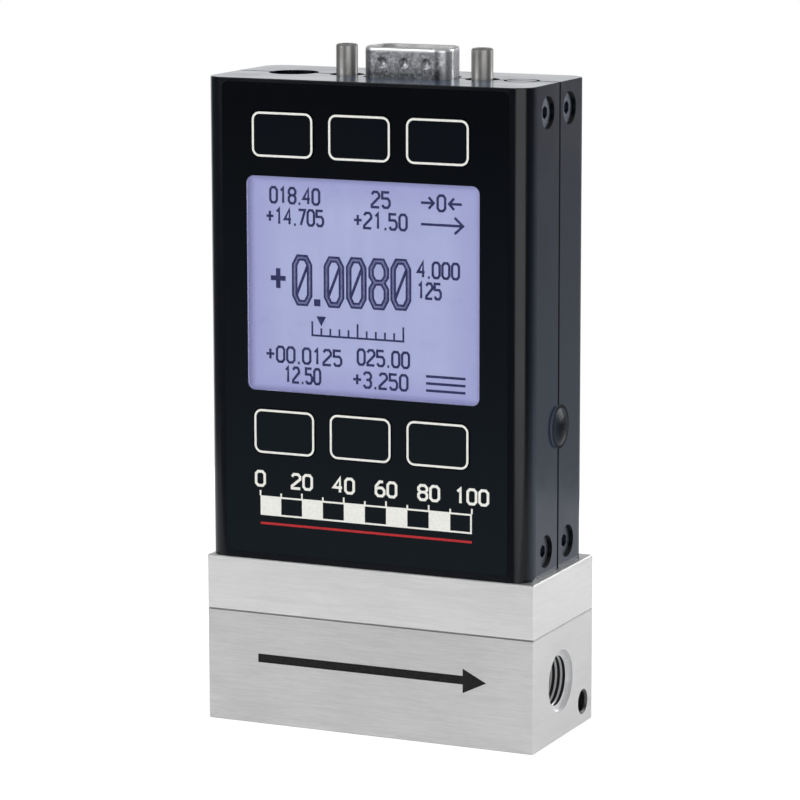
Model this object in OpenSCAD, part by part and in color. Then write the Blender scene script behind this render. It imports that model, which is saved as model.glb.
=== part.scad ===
// In-line gas flow meter with a display head.
// Frame: +X is the flow direction, -Y the display side, +Z up.
// Origin: middle of the bottom face of the flow body. Lengths in millimetres.

/* [Flow body] */
// Width of both steel blocks, along the flow
base_w = 61; // [60:0.5:70]
// Depth of both steel blocks, front to back
base_d = 26.7; // [26.5:0.1:32]
// Height of the lower block, which holds the ports
body_h = 19.6; // [18.5:0.1:24]
// Height of the upper block, which carries the sensors
adapter_h = 9.5; // [8.5:0.1:14]
// Edge break all round both blocks
block_chamfer = 0.15; // [0.1:0.05:0.5]

/* [Gas ports] */
// Radius at the thread crests of both gas ports
port_r = 4.3; // [4.1:0.05:4.4]
// Depth of the thread grooves, measured along the radius
port_thread_d = 0.6; // [0.4:0.05:0.7]
// Distance from one thread groove to the next
port_pitch = 0.94; // [0.8:0.02:1.1]
// Number of thread grooves
port_turns = 7; // [5:1:8]
// Flat left between two thread grooves
port_land = 0.2; // [0.15:0.01:0.3]
// Length of the plain wall behind the threads
port_plain_l = 1.9; // [1.5:0.1:2.5]
// Radius of the counterbored mouth
port_mouth_r = 5.4; // [4.95:0.05:5.5]
// Depth of the counterbored mouth
port_mouth_d = 0.9; // [0.3:0.05:1]
// Height of the port axis above the bottom face
port_z = 10; // [9.5:0.1:11]
// Distance of the port axis in front of the middle of the block
port_forward = 1.2; // [0:0.1:2.5]
// Radius of the through bore behind the threads
bore_r = 3.9; // [3.5:0.05:4]

/* [Mounting holes] */
// Wall radius of the threaded mounting holes
mount_hole_r = 1.8; // [1.5:0.05:2]
// Radius of their countersunk mouths
mount_mouth_r = 2.15; // [2.05:0.05:2.4]
// Depth of the mounting holes
mount_hole_d = 4.4; // [3.5:0.1:4.8]
// Distance between the two mounting holes in the bottom face
mount_spacing = 35; // [30:0.5:38]
// Height of the mounting hole in each end face
end_hole_z = 4; // [3.5:0.1:4.5]
// Distance of that hole behind the middle of the block
end_hole_back = 9; // [8.5:0.1:9.5]

/* [Flow element] */
// Number of plates in the flow element
element_plates = 5; // [3:1:7]
// Thickness of each plate
plate_t = 0.5; // [0.3:0.05:0.6]
// Wall of the element's sleeve
element_wall = 0.5; // [0.4:0.05:0.8]
// Width of the ring that holds the element at each end
retainer_t = 1.2; // [0.8:0.1:1.5]
// Free radius inside each ring
retainer_hole_r = 2.9; // [2.5:0.1:3.1]
// Radius of the pressure passages
tap_r = 0.8; // [0.6:0.05:0.9]
// Distance from that ring to the middle of the passage beyond it
ring_to_tap = 2.1; // [1.8:0.1:2.6]

/* [Sensors] */
// Height of both pressure sensors
sensor_h = 6; // [5:0.1:8]
// Width of the differential sensor, as a share of the space between its neighbours
dp_share = 0.7; // [0.65:0.01:0.72]
// Distance from that sensor's side to its passage
dp_tap_in = 2.1; // [2:0.1:2.6]
// Depth of the differential sensor
dp_d = 11; // [9:0.5:13]
// Width and depth of the absolute sensor
abs_w = 6.6; // [6:0.1:6.8]
// Gap between the absolute sensor and the case mount beside it
sensor_gap = 0.65; // [0.5:0.05:0.8]
// Radius of the nozzle under each sensor
nozzle_r = 1.6; // [1.4:0.05:1.7]
// Radius of the gas passage in a nozzle
nozzle_hole_r = 0.6; // [0.4:0.05:0.8]
// Length of a nozzle
nozzle_l = 2.3; // [2:0.1:3]
// Radius of the temperature probe's tube
probe_r = 0.9; // [0.7:0.05:1]
// Radius of the temperature probe's head
probe_head_r = 2.4; // [2:0.1:2.6]
// Height of the temperature probe's head
probe_head_h = 2; // [1.5:0.1:3]

/* [Seals] */
// Radius of the cord of each small seal ring
seal_cord_r = 0.35; // [0.25:0.05:0.4]
// Radius of the seal rings between the blocks, at the cord
seal_r = 2; // [1.8:0.1:2.4]

/* [Case] */
// Width of the display case
case_w = 59.7; // [59.5:0.1:62]
// Depth of the display case
case_d = 26.3; // [26:0.1:28]
// Height of the display case
case_h = 82.6; // [82:0.2:88]
// Distance of the case to the left of the flow body's middle
case_left = 0.6; // [0:0.1:0.6]
// Distance of the case front behind the flow body's front
case_inset = 0.1; // [0.05:0.05:0.4]
// Radius of the four upright corners
case_corner_r = 3.7; // [3.2:0.1:4]
// Edge break round the top
case_chamfer = 0.15; // [0.1:0.05:0.6]
// Side walls
side_wall = 2.5; // [2.3:0.1:2.6]
// Front wall
front_wall = 2; // [1.8:0.1:2.4]
// Rear wall
rear_wall = 2; // [1.6:0.1:2.4]
// Top wall
top_wall = 1.4; // [1.2:0.1:1.8]
// Distance of the parting seam behind the middle of the case
seam_back = 0.25; // [0:0.05:0.5]
// Open width of the parting seam
seam_gap = 0.3; // [0.1:0.05:0.4]

/* [Front panel] */
// Distance from the case side to the overlay
overlay_side = 3.65; // [3.6:0.05:4]
// Distance from the case top to the overlay
overlay_top = 0.7; // [0.6:0.05:1.2]
// Distance from the case bottom to the overlay
overlay_bottom = 1.2; // [0.8:0.1:2]
// Thickness of the overlay and the window
overlay_t = 0.5; // [0.4:0.05:0.6]
// Radius of the overlay's corners
overlay_corner_r = 1; // [0.5:0.1:1.5]
// Distance from the overlay's side to the clear window
window_side = 4.8; // [4.7:0.1:6.2]
// Height of the clear window
window_h = 36.6; // [34:0.2:37]
// Radius of the window's corners
window_corner_r = 1.3; // [0.5:0.1:1.5]
// Height of the window's middle above the case bottom
window_up = 47.85; // [47.4:0.05:48.4]
// Distance of the window's middle to the left of the case middle
window_left = 0.35; // [0:0.05:0.5]

/* [Keys] */
// Distance from the window's side to the end of a row of keys
key_end = 1.5; // [1:0.1:2]
// Gap between two keys in a row
key_between = 2.95; // [2.8:0.05:3.4]
// Height of a key
key_h = 7.6; // [7:0.1:7.7]
// Radius of a key's corners
key_corner_r = 1.4; // [1:0.1:1.8]
// Distance of the middle keys to the left of the case middle
key_left = 0.7; // [0.3:0.05:1]
// Distance from the window's middle to each row of keys
key_row = 25.4; // [25.2:0.1:25.8]
// Gap round each key
key_gap = 0.25; // [0.2:0.05:0.35]
// Distance that a key moves when pressed
key_travel = 0.4; // [0.2:0.05:0.5]
// Width of the lip that keeps a key in its hole
key_lip = 0.75; // [0.6:0.05:0.8]
// Thickness of that lip
key_lip_t = 0.7; // [0.5:0.05:0.9]

/* [Display] */
// Distance that the display's metal frame reaches past the window's sides
lcd_over = 2.9; // [2.5:0.1:3.1]
// Height of the display's metal frame
lcd_h = 40.2; // [39.4:0.2:40.4]
// Distance of the display board behind the case front, as a share of the case depth
board_share = 0.2376; // [0.235:0.0002:0.24]
// Sheet thickness of the display's metal frame
lcd_sheet = 0.4; // [0.3:0.05:0.5]
// Thickness of the display glass
lcd_glass_t = 2; // [1.6:0.1:2.2]
// Width of the frame's rim over the display glass
lcd_rim = 1.1; // [0.8:0.1:1.4]

/* [Boards] */
// Thickness of every circuit board
board_t = 1.6; // [1:0.1:2]
// Length of the spacers between the display board and the main board
spacer_l = 4.6; // [4:0.1:5]
// Width across the flats of the spacers
spacer_flats = 4; // [3.5:0.1:4.5]
// Width of the body of a key switch
switch_w = 4.5; // [4:0.1:5]

/* [Connector] */
// Distance between the two jackscrews
dsub_spacing = 24.99; // [24.9:0.01:25.1]
// Distance from a jackscrew's middle to the connector's metal shell
post_to_shell = 4.045; // [4:0.005:4.1]
// Depth of the connector's metal shell
dsub_d = 8.4; // [8:0.1:8.8]
// Sheet thickness of the connector's metal shell
dsub_sheet = 0.5; // [0.4:0.05:0.6]
// Height of the connector's metal shell above its flange
dsub_h = 6.6; // [6:0.1:7]
// Distance from a jackscrew's middle to the end of the connector's flange
flange_end = 2.905; // [2.7:0.005:3]
// Depth of the connector's flange
flange_d = 12.5; // [12:0.1:12.8]
// Distance from the outer front pins to the side of the metal shell
pin_side = 2.91; // [2.85:0.01:3]
// Distance between the two rows of contact pins
pin_rows = 2.84; // [2.8:0.01:2.9]
// Radius of a contact pin
pin_r = 0.5; // [0.4:0.05:0.55]
// Radius of the jackscrew posts
post_r = 1.85; // [1.7:0.05:2]
// Height of the jackscrew posts above the case
post_h = 5.2; // [4.5:0.1:6]
// Wall radius of the thread in each post
post_hole_r = 1.15; // [1:0.05:1.25]
// Depth of the thread in each post
post_hole_d = 5; // [4:0.1:5.5]
// Radius of the clearance holes round the posts
post_clear_r = 2.9; // [2.6:0.1:3]

/* [Power jack] */
// Radius of the jack's body, as a share of the case's inner width
jack_share = 0.0896; // [0.088:0.0001:0.0904]
// Free room left of the jack, as a share of what the top row leaves free
jack_left_share = 0.036; // [0.02:0.001:0.06]
// Free room between the jack and the data connector, as such a share
jack_right_share = 0.271; // [0.25:0.001:0.29]
// Distance from the jack's side to the edge of the round hole over it
jack_cover = 0.6; // [0.5:0.05:0.8]
// Wall of the jack round its socket
jack_wall = 1.7; // [1.6:0.05:2]
// Height of the jack's body
jack_h = 8.2; // [8:0.1:9]
// Radius of the jack's centre pin
jack_pin_r = 1.05; // [0.8:0.05:1.25]

/* [Plugs] */
// Radius of the flush plug in the top, as a share of the room beside the connector
top_plug_share = 0.27; // [0.24:0.01:0.28]
// Distance of that plug's middle from the connector's post, as such a share
top_plug_place_share = 0.391; // [0.37:0.001:0.41]
// Radius of the plug in the side
side_plug_r = 3.7; // [3.4:0.05:3.9]
// Distance that the side plug stands out
side_plug_h = 1.2; // [0.9:0.05:1.2]
// Height of the side plug above the case bottom
side_plug_up = 24.6; // [22:0.2:27]

/* [Fasteners] */
// Radius of the countersunk recess round each side screw
screw_recess_r = 2.8; // [2.7:0.05:3]
// Depth of that recess
screw_recess_d = 1.6; // [1.5:0.05:1.8]
// Radius of a side screw's head
screw_head_r = 2.6; // [2.4:0.05:2.65]
// Height of a side screw's head
screw_head_h = 1; // [0.8:0.05:1.2]
// Radius of every case and block screw's shank
screw_r = 1.2; // [1:0.05:1.25]
// Length of a side screw's shank
screw_l = 4.2; // [3.6:0.1:4.4]
// Width across the flats of the hexagon sockets
socket_flats = 2; // [1.5:0.1:2]
// Height of the lower side screws above the case bottom
screw_up = 4.1; // [3.9:0.1:4.4]
// Depth of the upper side screws below the case top
screw_down = 4.6; // [4.4:0.1:4.8]
// Distance of the front side screws behind the case front, as a share of its depth
screw_front_share = 0.308; // [0.3:0.002:0.32]
// Distance of the rear side screws in front of the case back, as a share of its depth
screw_back_share = 0.329; // [0.32:0.001:0.334]

/* [Hidden] */
$fn = 48;

// How far a cutting shape runs past the face that it cuts
overrun = 0.5;
// Clearance round screws, pins and pieces that seat in a bore
fit_gap = 0.05;
// Clearance where one piece drops into another
seat_gap = 0.1;

// Flow body
port_y = -port_forward;
port_thread_l = port_mouth_d + port_turns * port_pitch;
port_wall_l = port_thread_l + port_plain_l;
port_throat_l = 0.6;
element_r = bore_r - fit_gap;
block_screw_in_x = 6.5;
block_screw_in_y = 4.35;
block_screw_grip = 8;
block_head_r = 2.6;
block_head_h = 2.6;
block_screw_x = base_w / 2 - block_screw_in_x;
block_screw_y = base_d / 2 - block_screw_in_y;
plate_step = 2 * (element_r - element_wall) / (element_plates + 1);

// Small seals
groove_d = 2 * seal_cord_r;
pocket_r = nozzle_r + 2 * seal_cord_r + 2 * fit_gap;
pocket_d = nozzle_l + seat_gap;

// Case
case_x = -case_left;
case_z = body_h + adapter_h;
case_top_z = case_z + case_h;
face_y = -base_d / 2 + case_inset;
back_y = face_y + case_d;
seam_y = (face_y + back_y) / 2 + seam_back;
inner_w = case_w - 2 * side_wall;
inner_r = case_corner_r - side_wall;
inner_left_x = case_x - inner_w / 2;
inner_right_x = case_x + inner_w / 2;
case_left_x = case_x - case_w / 2;
case_right_x = case_x + case_w / 2;
inner_front_y = face_y + front_wall;
inner_back_y = back_y - rear_wall;
inner_top_z = case_top_z - top_wall;

// Side screws: heights, and depths in front of and behind the seam
side_screw_z = [case_z + screw_up, case_top_z - screw_down];
side_screw_y = [face_y + screw_front_share * case_d, back_y - screw_back_share * case_d];

// Front panel and keys
overlay_w = case_w - 2 * overlay_side;
overlay_h = case_h - overlay_top - overlay_bottom;
overlay_z = case_z + overlay_bottom + overlay_h / 2;
window_w = overlay_w - 2 * window_side;
window_x = case_x - window_left;
window_z = case_z + window_up;
key_w = (window_w - 2 * key_end - 2 * key_between) / 3;
key_pitch = key_w + key_between;
key_x = case_x - key_left;
key_proud = case_inset;
key_slack = 0.1;
key_stem_r = 1.5;
key_stem_l = 0.3;
key_lip_y = inner_front_y + fit_gap;
key_lip_back_y = key_lip_y + key_lip_t;
key_stem_y = key_lip_back_y + key_stem_l;

// Display
lcd_gap = 0.15;
lcd_y = face_y + overlay_t + lcd_gap;
lcd_w = window_w + 2 * lcd_over;
board_y = face_y + board_share * case_d;
board_back_y = board_y + board_t;
lcd_clear = 0.3;
lcd_open_w = lcd_w - 2 * (lcd_sheet + lcd_rim);
lcd_open_h = lcd_h - 2 * (lcd_sheet + lcd_rim);
lcd_glass_y = lcd_y + lcd_sheet + fit_gap;
backlight_y = lcd_glass_y + lcd_glass_t;

// Brackets and case mounts
mount_l = 6.4;
mount_front_gap = 2.7;
mount_back_gap = 2.2;
mount_h = 2 * screw_up;
mount_y = inner_front_y + mount_front_gap;
mount_back_y = inner_back_y - mount_back_gap;
mount_screw_grip = 5;
mount_head_h = 2;
bracket_t = 1.5;
lug_share = 0.0512;
lug_t = lug_share * inner_w;
lug_below = 2.6;
lug_z = case_top_z - screw_down - lug_below;

// Sensors, the passages under them and the flow element between the outer passages
outer_tap_off = inner_right_x - seat_gap - mount_l - sensor_gap - abs_w / 2;
dp_w = dp_share * (2 * outer_tap_off - abs_w);
tap_off = dp_w / 2 - dp_tap_in;
element_l = 2 * (outer_tap_off - ring_to_tap - retainer_t);

// Sensor board
sensor_board_z = case_z + sensor_h;
board_gap = 0.3;
sensor_header_w = 15;
header_t = 2.5;
sensor_header_over = 3;

// Display board, main board and their fasteners
board_lift = 2.9;
board_z = case_z + mount_h + board_lift;
board_side = 0.8;
neck_side = 5.35;
neck_w = inner_w - 2 * neck_side;
boss_in = 3.05;
boss_up = 24.05;
boss_down = 31.45;
boss_x = [inner_left_x + boss_in, inner_right_x - boss_in];
boss_z = [window_z - boss_down, window_z + boss_up];
boss_r = 1.9;
boss_root = 0.4;
boss_screw_r = 0.8;
boss_screw_d = 3;
boss_head_r = 1.6;
boss_head_h = 1.1;
plunger_r = 1.2;
plunger_h = 0.3;
switch_h = board_y - key_stem_y - key_slack - key_travel - plunger_h;
main_board_y = board_back_y + spacer_l;
main_board_back_y = main_board_y + board_t;
spacer_in_x = 3;
spacer_in_z = 3;
spacer_hole_r = 1.15;
spacer_head_r = 2;
spacer_head_h = 1.4;

// Chips and capacitors
chip_w = 6;
chip_t = 1.6;
chip_step = neck_w / 4;
capacitor_r = 2.5;
capacitor_h = 6;

// Widths of the data connector, which follow from the distance between its jackscrews
dsub_w = dsub_spacing - 2 * post_to_shell;
flange_w = dsub_spacing + 2 * flange_end;
insert_side = 2.895;
insert_w = dsub_spacing - 2 * insert_side;
pin_pitch = (dsub_w - 2 * pin_side) / 4;
dimple_share = 0.237;
dimple_step = dimple_share * dsub_w;

// Top row: the power jack, data connector and flush plug share the width between the bracket's lugs
jack_r = jack_share * inner_w;
top_row_free = inner_w - 2 * (seat_gap + lug_t) - 2 * jack_r - flange_w;
jack_x = inner_left_x + seat_gap + lug_t + jack_left_share * top_row_free + jack_r;
dsub_x = jack_x + jack_r + jack_right_share * top_row_free + flange_w / 2;
top_plug_from_x = dsub_x + dsub_spacing / 2 + post_clear_r;
top_plug_room = case_right_x - case_chamfer - top_plug_from_x;
top_plug_r = top_plug_share * top_plug_room;
top_plug_x = top_plug_from_x + top_plug_place_share * top_plug_room;
jack_hole_r = jack_r - jack_cover;
jack_socket_r = jack_r - jack_wall;

// Board under the top
io_board_top_z = inner_top_z - jack_h;
io_board_z = io_board_top_z - board_t;
main_board_top_z = io_board_z - board_gap;
spacer_x = [case_x - neck_w / 2 + spacer_in_x, case_x + neck_w / 2 - spacer_in_x];
spacer_z = [board_z + spacer_in_z, main_board_top_z - spacer_in_z];
io_header_w = 10.2;
io_header_h = 4.1;
io_header_x = jack_x + jack_r + board_gap + io_header_w / 2;
io_pin_r = 0.3;
io_pin_count = 4;
io_pin_pitch = 2.54;
jack_socket_d = 7;
jack_pin_down = 1;

// Data connector
dsub_corner_r = 2.5;
dsub_lean = 10;
corner_steps = 6;
dsub_clear = 0.4;
flange_t = 0.5;
flange_corner_r = 1.5;
insert_d = 10.6;
insert_h = 4.5;
insert_up = 1;
neck_z = inner_top_z - flange_t - insert_h - board_gap;
pin_down = 1.4;
pin_tip_h = 0.4;
pin_tail = 0.2;
dimple_r = 1.2;
dimple_d = 0.25;
dimple_down = 2.6;
shank_r = 1.35;
shank_l = 3.6;
post_chamfer = 0.25;
nut_r = 2.6;
nut_h = 1.8;

// Plugs
top_plug_chamfer = 0.5;
side_plug_z = case_z + side_plug_up;
side_plug_rim = 0.4;
side_plug_step = 0.5;
side_plug_shank_r = 2.7;
side_plug_shank_in = 0.6;
dome_steps = 6;
socket_share = 0.8;

// Rectangle with rounded corners, centred
module rounded_rect(w, h, r) {
    square([w - 2 * r, h], center = true);
    square([w, h - 2 * r], center = true);
    for (sx = [-1, 1], sy = [-1, 1])
        translate([sx * (w / 2 - r), sy * (h / 2 - r)]) circle(r = r);
}

// Rectangle with its corners cut off, centred
module cut_rect(w, h, c) {
    polygon([
        [-w / 2 + c, -h / 2], [w / 2 - c, -h / 2], [w / 2, -h / 2 + c], [w / 2, h / 2 - c],
        [w / 2 - c, h / 2], [-w / 2 + c, h / 2], [-w / 2, h / 2 - c], [-w / 2, -h / 2 + c]
    ]);
}

// Block on z = 0 with every edge broken
module edged_block(w, d, h, c) {
    intersection() {
        linear_extrude(h) cut_rect(w, d, c);
        translate([0, d / 2, h / 2]) rotate([90, 0, 0]) linear_extrude(d) cut_rect(w, h, c);
        translate([-w / 2, 0, h / 2]) rotate([90, 0, 90]) linear_extrude(w) cut_rect(d, h, c);
    }
}

// Box between two corners
module span(low, high) {
    translate(low) cube(high - low);
}

// Cylinder along X from x0 to x1
module bar_x(x0, x1, r) {
    translate([x0, 0, 0]) rotate([0, 90, 0]) cylinder(r = r, h = x1 - x0);
}

// Cylinder along Y from y0 to y1
module bar_y(y0, y1, r) {
    translate([0, y0, 0]) rotate([-90, 0, 0]) cylinder(r = r, h = y1 - y0);
}

// Cylinder along Z from z0 to z1
module bar_z(z0, z1, r) {
    translate([0, 0, z0]) cylinder(r = r, h = z1 - z0);
}

// Hexagonal bar on z = 0
module hexagon(flats, h) {
    cylinder(r = flats / sqrt(3), h = h, $fn = 6);
}

// Seal ring round Z, resting on z = 0
module seal_ring(r, cord) {
    translate([0, 0, cord]) rotate_extrude() translate([r, 0]) circle(r = cord, $fn = 24);
}

// Flat ring groove round Z, from z = 0 upwards
module ring_groove(r, half_w, h) {
    rotate_extrude() translate([r - half_w, 0]) square([2 * half_w, h]);
}

// Plate parallel to the display side, with rounded corners
module front_plate(x, z, w, h, r, y0, y1) {
    translate([x, y0, z]) rotate([-90, 0, 0]) linear_extrude(y1 - y0) rounded_rect(w, h, r);
}

// Runs its children at the left end (-1) and the right end (1), with +Z pointing into the block
module at_each_end(y, z) {
    for (side = [-1, 1])
        translate([side * base_w / 2, y, z]) rotate([0, -90 * side, 0]) children();
}

// Screw hole with a countersunk mouth at z = 0, cutting upwards
module mouthed_hole(r, mouth_r, depth) {
    rotate_extrude()
        polygon([
            [0, -overrun], [mouth_r, -overrun], [mouth_r, 0], [r, mouth_r - r],
            [r, depth], [0, depth + r]
        ]);
}

// Threaded port with its mouth at z = 0, cutting upwards into the through bore
module port_cut() {
    grooves = [
        for (turn = [0 : port_turns - 1])
            let (z0 = port_mouth_d + turn * port_pitch)
                each [
                    [port_r, z0],
                    [port_r + port_thread_d, z0 + (port_pitch - port_land) / 2],
                    [port_r, z0 + port_pitch - port_land]
                ]
    ];
    mouth = [[0, -overrun], [port_mouth_r, -overrun], [port_mouth_r, port_mouth_d]];
    throat_z = port_wall_l + port_throat_l;
    throat = [
        [port_r, port_wall_l], [bore_r, throat_z], [bore_r, throat_z + overrun], [0, throat_z + overrun]
    ];
    rotate_extrude() polygon(concat(mouth, grooves, throat));
}

// Lower steel block: gas passage, two threaded ports, mounting holes and seal grooves
module flow_body() {
    color([0.76, 0.76, 0.75]) difference() {
        edged_block(base_w, base_d, body_h, block_chamfer);
        translate([0, port_y, port_z])
            bar_x(-base_w / 2 + port_wall_l, base_w / 2 - port_wall_l, bore_r);
        at_each_end(port_y, port_z) port_cut();
        at_each_end(end_hole_back, end_hole_z) mouthed_hole(mount_hole_r, mount_mouth_r, mount_hole_d);
        for (side = [-1, 1])
            translate([side * mount_spacing / 2, 0, 0])
                mouthed_hole(mount_hole_r, mount_mouth_r, mount_hole_d);
        at_block_screws()
            bar_z(body_h - block_screw_grip, body_h + overrun, screw_r + fit_gap);
        at_passages() passage_cut(tap_r);
        at_probe() passage_cut(probe_r + fit_gap);
    }
}

// Passage from the bore up to the top face, with a seal groove round it
module passage_cut(r) {
    bar_z(port_z, body_h + overrun, r);
    translate([0, 0, body_h - groove_d])
        ring_groove(seal_r, seal_cord_r + fit_gap, groove_d + overrun);
}

module at_block_screws() {
    for (sx = [-1, 1], sy = [-1, 1])
        translate([sx * block_screw_x, sy * block_screw_y, 0]) children();
}

// The three pressure passages
module at_passages() {
    for (x = [-tap_off, tap_off, outer_tap_off])
        translate([x, port_y, 0]) children();
}

module at_probe() {
    translate([-outer_tap_off, port_y, 0]) children();
}

// Upper steel block: carries the sensors and the display case
module adapter_block() {
    color([0.8, 0.8, 0.8]) difference() {
        translate([0, 0, body_h]) edged_block(base_w, base_d, adapter_h, block_chamfer);
        at_block_screws() {
            bar_z(body_h - overrun, case_z, screw_r + fit_gap);
            bar_z(case_z - block_head_h - seat_gap, case_z + overrun, block_head_r + seat_gap);
        }
        at_passages() {
            bar_z(body_h - overrun, case_z, tap_r);
            bar_z(case_z - pocket_d, case_z + overrun, pocket_r);
        }
        at_probe() bar_z(body_h - overrun, case_z + overrun, probe_r + fit_gap);
        at_mount_screws() bar_z(case_z - mount_screw_grip, case_z + overrun, screw_r + fit_gap);
    }
}

// Laminar flow element: a sleeve with thin plates across it
module flow_element() {
    plate_r = element_r - element_wall / 2;
    color([0.7, 0.7, 0.72]) translate([0, port_y, port_z]) difference() {
        union() {
            difference() {
                bar_x(-element_l / 2, element_l / 2, element_r);
                bar_x(-element_l / 2 - overrun, element_l / 2 + overrun, element_r - element_wall);
            }
            intersection() {
                bar_x(-element_l / 2, element_l / 2, plate_r);
                for (plate = [1 : element_plates]) {
                    z = -element_r + element_wall + plate * plate_step;
                    span([-element_l / 2, -element_r, z - plate_t / 2],
                         [element_l / 2, element_r, z + plate_t / 2]);
                }
            }
        }
        for (x = [-tap_off, tap_off])
            translate([x, 0, 0]) bar_z(0, element_r + overrun, tap_r);
    }
}

// Two rings that hold the flow element in the bore
module element_retainers() {
    color([0.72, 0.72, 0.74]) for (side = [-1, 1]) {
        x0 = side * (element_l + retainer_t) / 2 - retainer_t / 2;
        translate([0, port_y, port_z]) difference() {
            bar_x(x0, x0 + retainer_t, element_r);
            bar_x(x0 - overrun, x0 + retainer_t + overrun, retainer_hole_r);
        }
    }
}

// Seal rings round the four passages between the blocks
module tap_seals() {
    color([0.06, 0.06, 0.06]) {
        at_passages() translate([0, 0, body_h - groove_d]) seal_ring(seal_r, seal_cord_r);
        at_probe() translate([0, 0, body_h - groove_d]) seal_ring(seal_r, seal_cord_r);
    }
}

// Socket screw pointing down, its head resting on z = 0
module down_screw(head_r, head_h, shank_l) {
    difference() {
        union() {
            bar_z(0, head_h, head_r);
            bar_z(-shank_l, 0, screw_r);
        }
        translate([0, 0, head_h * (1 - socket_share)]) hexagon(socket_flats, head_h);
    }
}

// Four screws that clamp the blocks together
module block_screws() {
    shank_l = adapter_h - block_head_h - seat_gap + block_screw_grip - seat_gap;
    color([0.5, 0.5, 0.52]) at_block_screws()
        translate([0, 0, case_z - block_head_h - seat_gap])
            down_screw(block_head_r, block_head_h, shank_l);
}

// Nozzle under a sensor, with its top at z = 0
module nozzle() {
    bar_z(-nozzle_l, fit_gap, nozzle_r);
}

module nozzle_passage() {
    bar_z(-nozzle_l - overrun, sensor_h / 2, nozzle_hole_r);
}

// Differential pressure sensor over the flow element
module differential_sensor() {
    lid = sensor_h / 3;
    color([0.85, 0.85, 0.8]) translate([0, port_y, case_z]) difference() {
        union() {
            edged_block(dp_w, dp_d, sensor_h - lid, block_chamfer);
            translate([0, 0, sensor_h - lid - fit_gap])
                edged_block(dp_w - lid, dp_d - lid, lid + fit_gap, block_chamfer);
            for (x = [-tap_off, tap_off])
                translate([x, 0, 0]) nozzle();
        }
        for (x = [-tap_off, tap_off])
            translate([x, 0, 0]) nozzle_passage();
    }
}

// Absolute pressure sensor beside it
module absolute_sensor() {
    color([0.75, 0.75, 0.72]) translate([outer_tap_off, port_y, case_z]) difference() {
        union() {
            edged_block(abs_w, abs_w, sensor_h, block_chamfer);
            nozzle();
        }
        nozzle_passage();
    }
}

// Temperature probe that reaches down into the gas passage
module temperature_probe() {
    color([0.7, 0.68, 0.6]) at_probe() {
        bar_z(port_z, case_z + fit_gap, probe_r);
        bar_z(case_z, case_z + probe_head_h, probe_head_r);
        bar_z(case_z + probe_head_h - fit_gap, sensor_board_z, probe_r / 2);
    }
}

// Seal rings round the sensor nozzles
module sensor_seals() {
    color([0.06, 0.06, 0.06]) at_passages()
        translate([0, 0, case_z - groove_d - fit_gap])
            seal_ring(nozzle_r + seal_cord_r + fit_gap, seal_cord_r);
}

// Circuit board that lies on the sensors
module sensor_board() {
    color([0.05, 0.3, 0.15])
        span([inner_left_x + seat_gap + mount_l + board_gap, mount_y, sensor_board_z],
             [inner_right_x - seat_gap - mount_l - board_gap, mount_back_y, sensor_board_z + board_t]);
}

// Plug-in strip between the sensor board and the main board
module sensor_header() {
    color([0.08, 0.08, 0.08])
        span([case_x - sensor_header_w / 2, main_board_back_y, sensor_board_z + board_t],
             [case_x + sensor_header_w / 2, main_board_back_y + header_t, board_z + sensor_header_over]);
}

module at_mount_screws() {
    for (x = [inner_left_x + seat_gap + mount_l / 2, inner_right_x - seat_gap - mount_l / 2])
        translate([x, seam_y, 0]) children();
}

// Metal block that the lower side screws bite into
module case_mount(x0) {
    color([0.65, 0.65, 0.67]) difference() {
        span([x0, mount_y, case_z], [x0 + mount_l, mount_back_y, case_z + mount_h]);
        for (y = side_screw_y)
            translate([0, y, side_screw_z[0]])
                bar_x(x0 - overrun, x0 + mount_l + overrun, screw_r + fit_gap);
        at_mount_screws() {
            bar_z(case_z - overrun, case_z + mount_h, screw_r + fit_gap);
            bar_z(case_z + mount_h - mount_head_h, case_z + mount_h + overrun, block_head_r + seat_gap);
        }
    }
}

module left_case_mount() {
    case_mount(inner_left_x + seat_gap);
}

module right_case_mount() {
    case_mount(inner_right_x - seat_gap - mount_l);
}

// Two screws that hold the case mounts on the upper block
module mount_screws() {
    color([0.5, 0.5, 0.52]) at_mount_screws()
        translate([0, 0, case_z + mount_h - mount_head_h])
            down_screw(block_head_r, mount_head_h, mount_h - mount_head_h + mount_screw_grip - seat_gap);
}

// Plate under the case top with a lug at each end for the upper side screws
module top_bracket() {
    x0 = inner_left_x + seat_gap;
    x1 = inner_right_x - seat_gap;
    window = [flange_w / 2 + seat_gap, flange_d / 2 + seat_gap, 0];
    color([0.65, 0.65, 0.67]) difference() {
        union() {
            span([x0, mount_y, inner_top_z - bracket_t], [x1, mount_back_y, inner_top_z]);
            span([x0, mount_y, lug_z], [x0 + lug_t, mount_back_y, inner_top_z]);
            span([x1 - lug_t, mount_y, lug_z], [x1, mount_back_y, inner_top_z]);
        }
        translate([dsub_x, seam_y, inner_top_z])
            span(-window - [0, 0, bracket_t + overrun], window + [0, 0, overrun]);
        translate([jack_x, seam_y, 0])
            bar_z(inner_top_z - bracket_t - overrun, inner_top_z + overrun, jack_r + seat_gap);
        for (y = side_screw_y)
            translate([0, y, side_screw_z[1]]) bar_x(x0 - overrun, x1 + overrun, screw_r + fit_gap);
    }
}

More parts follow.
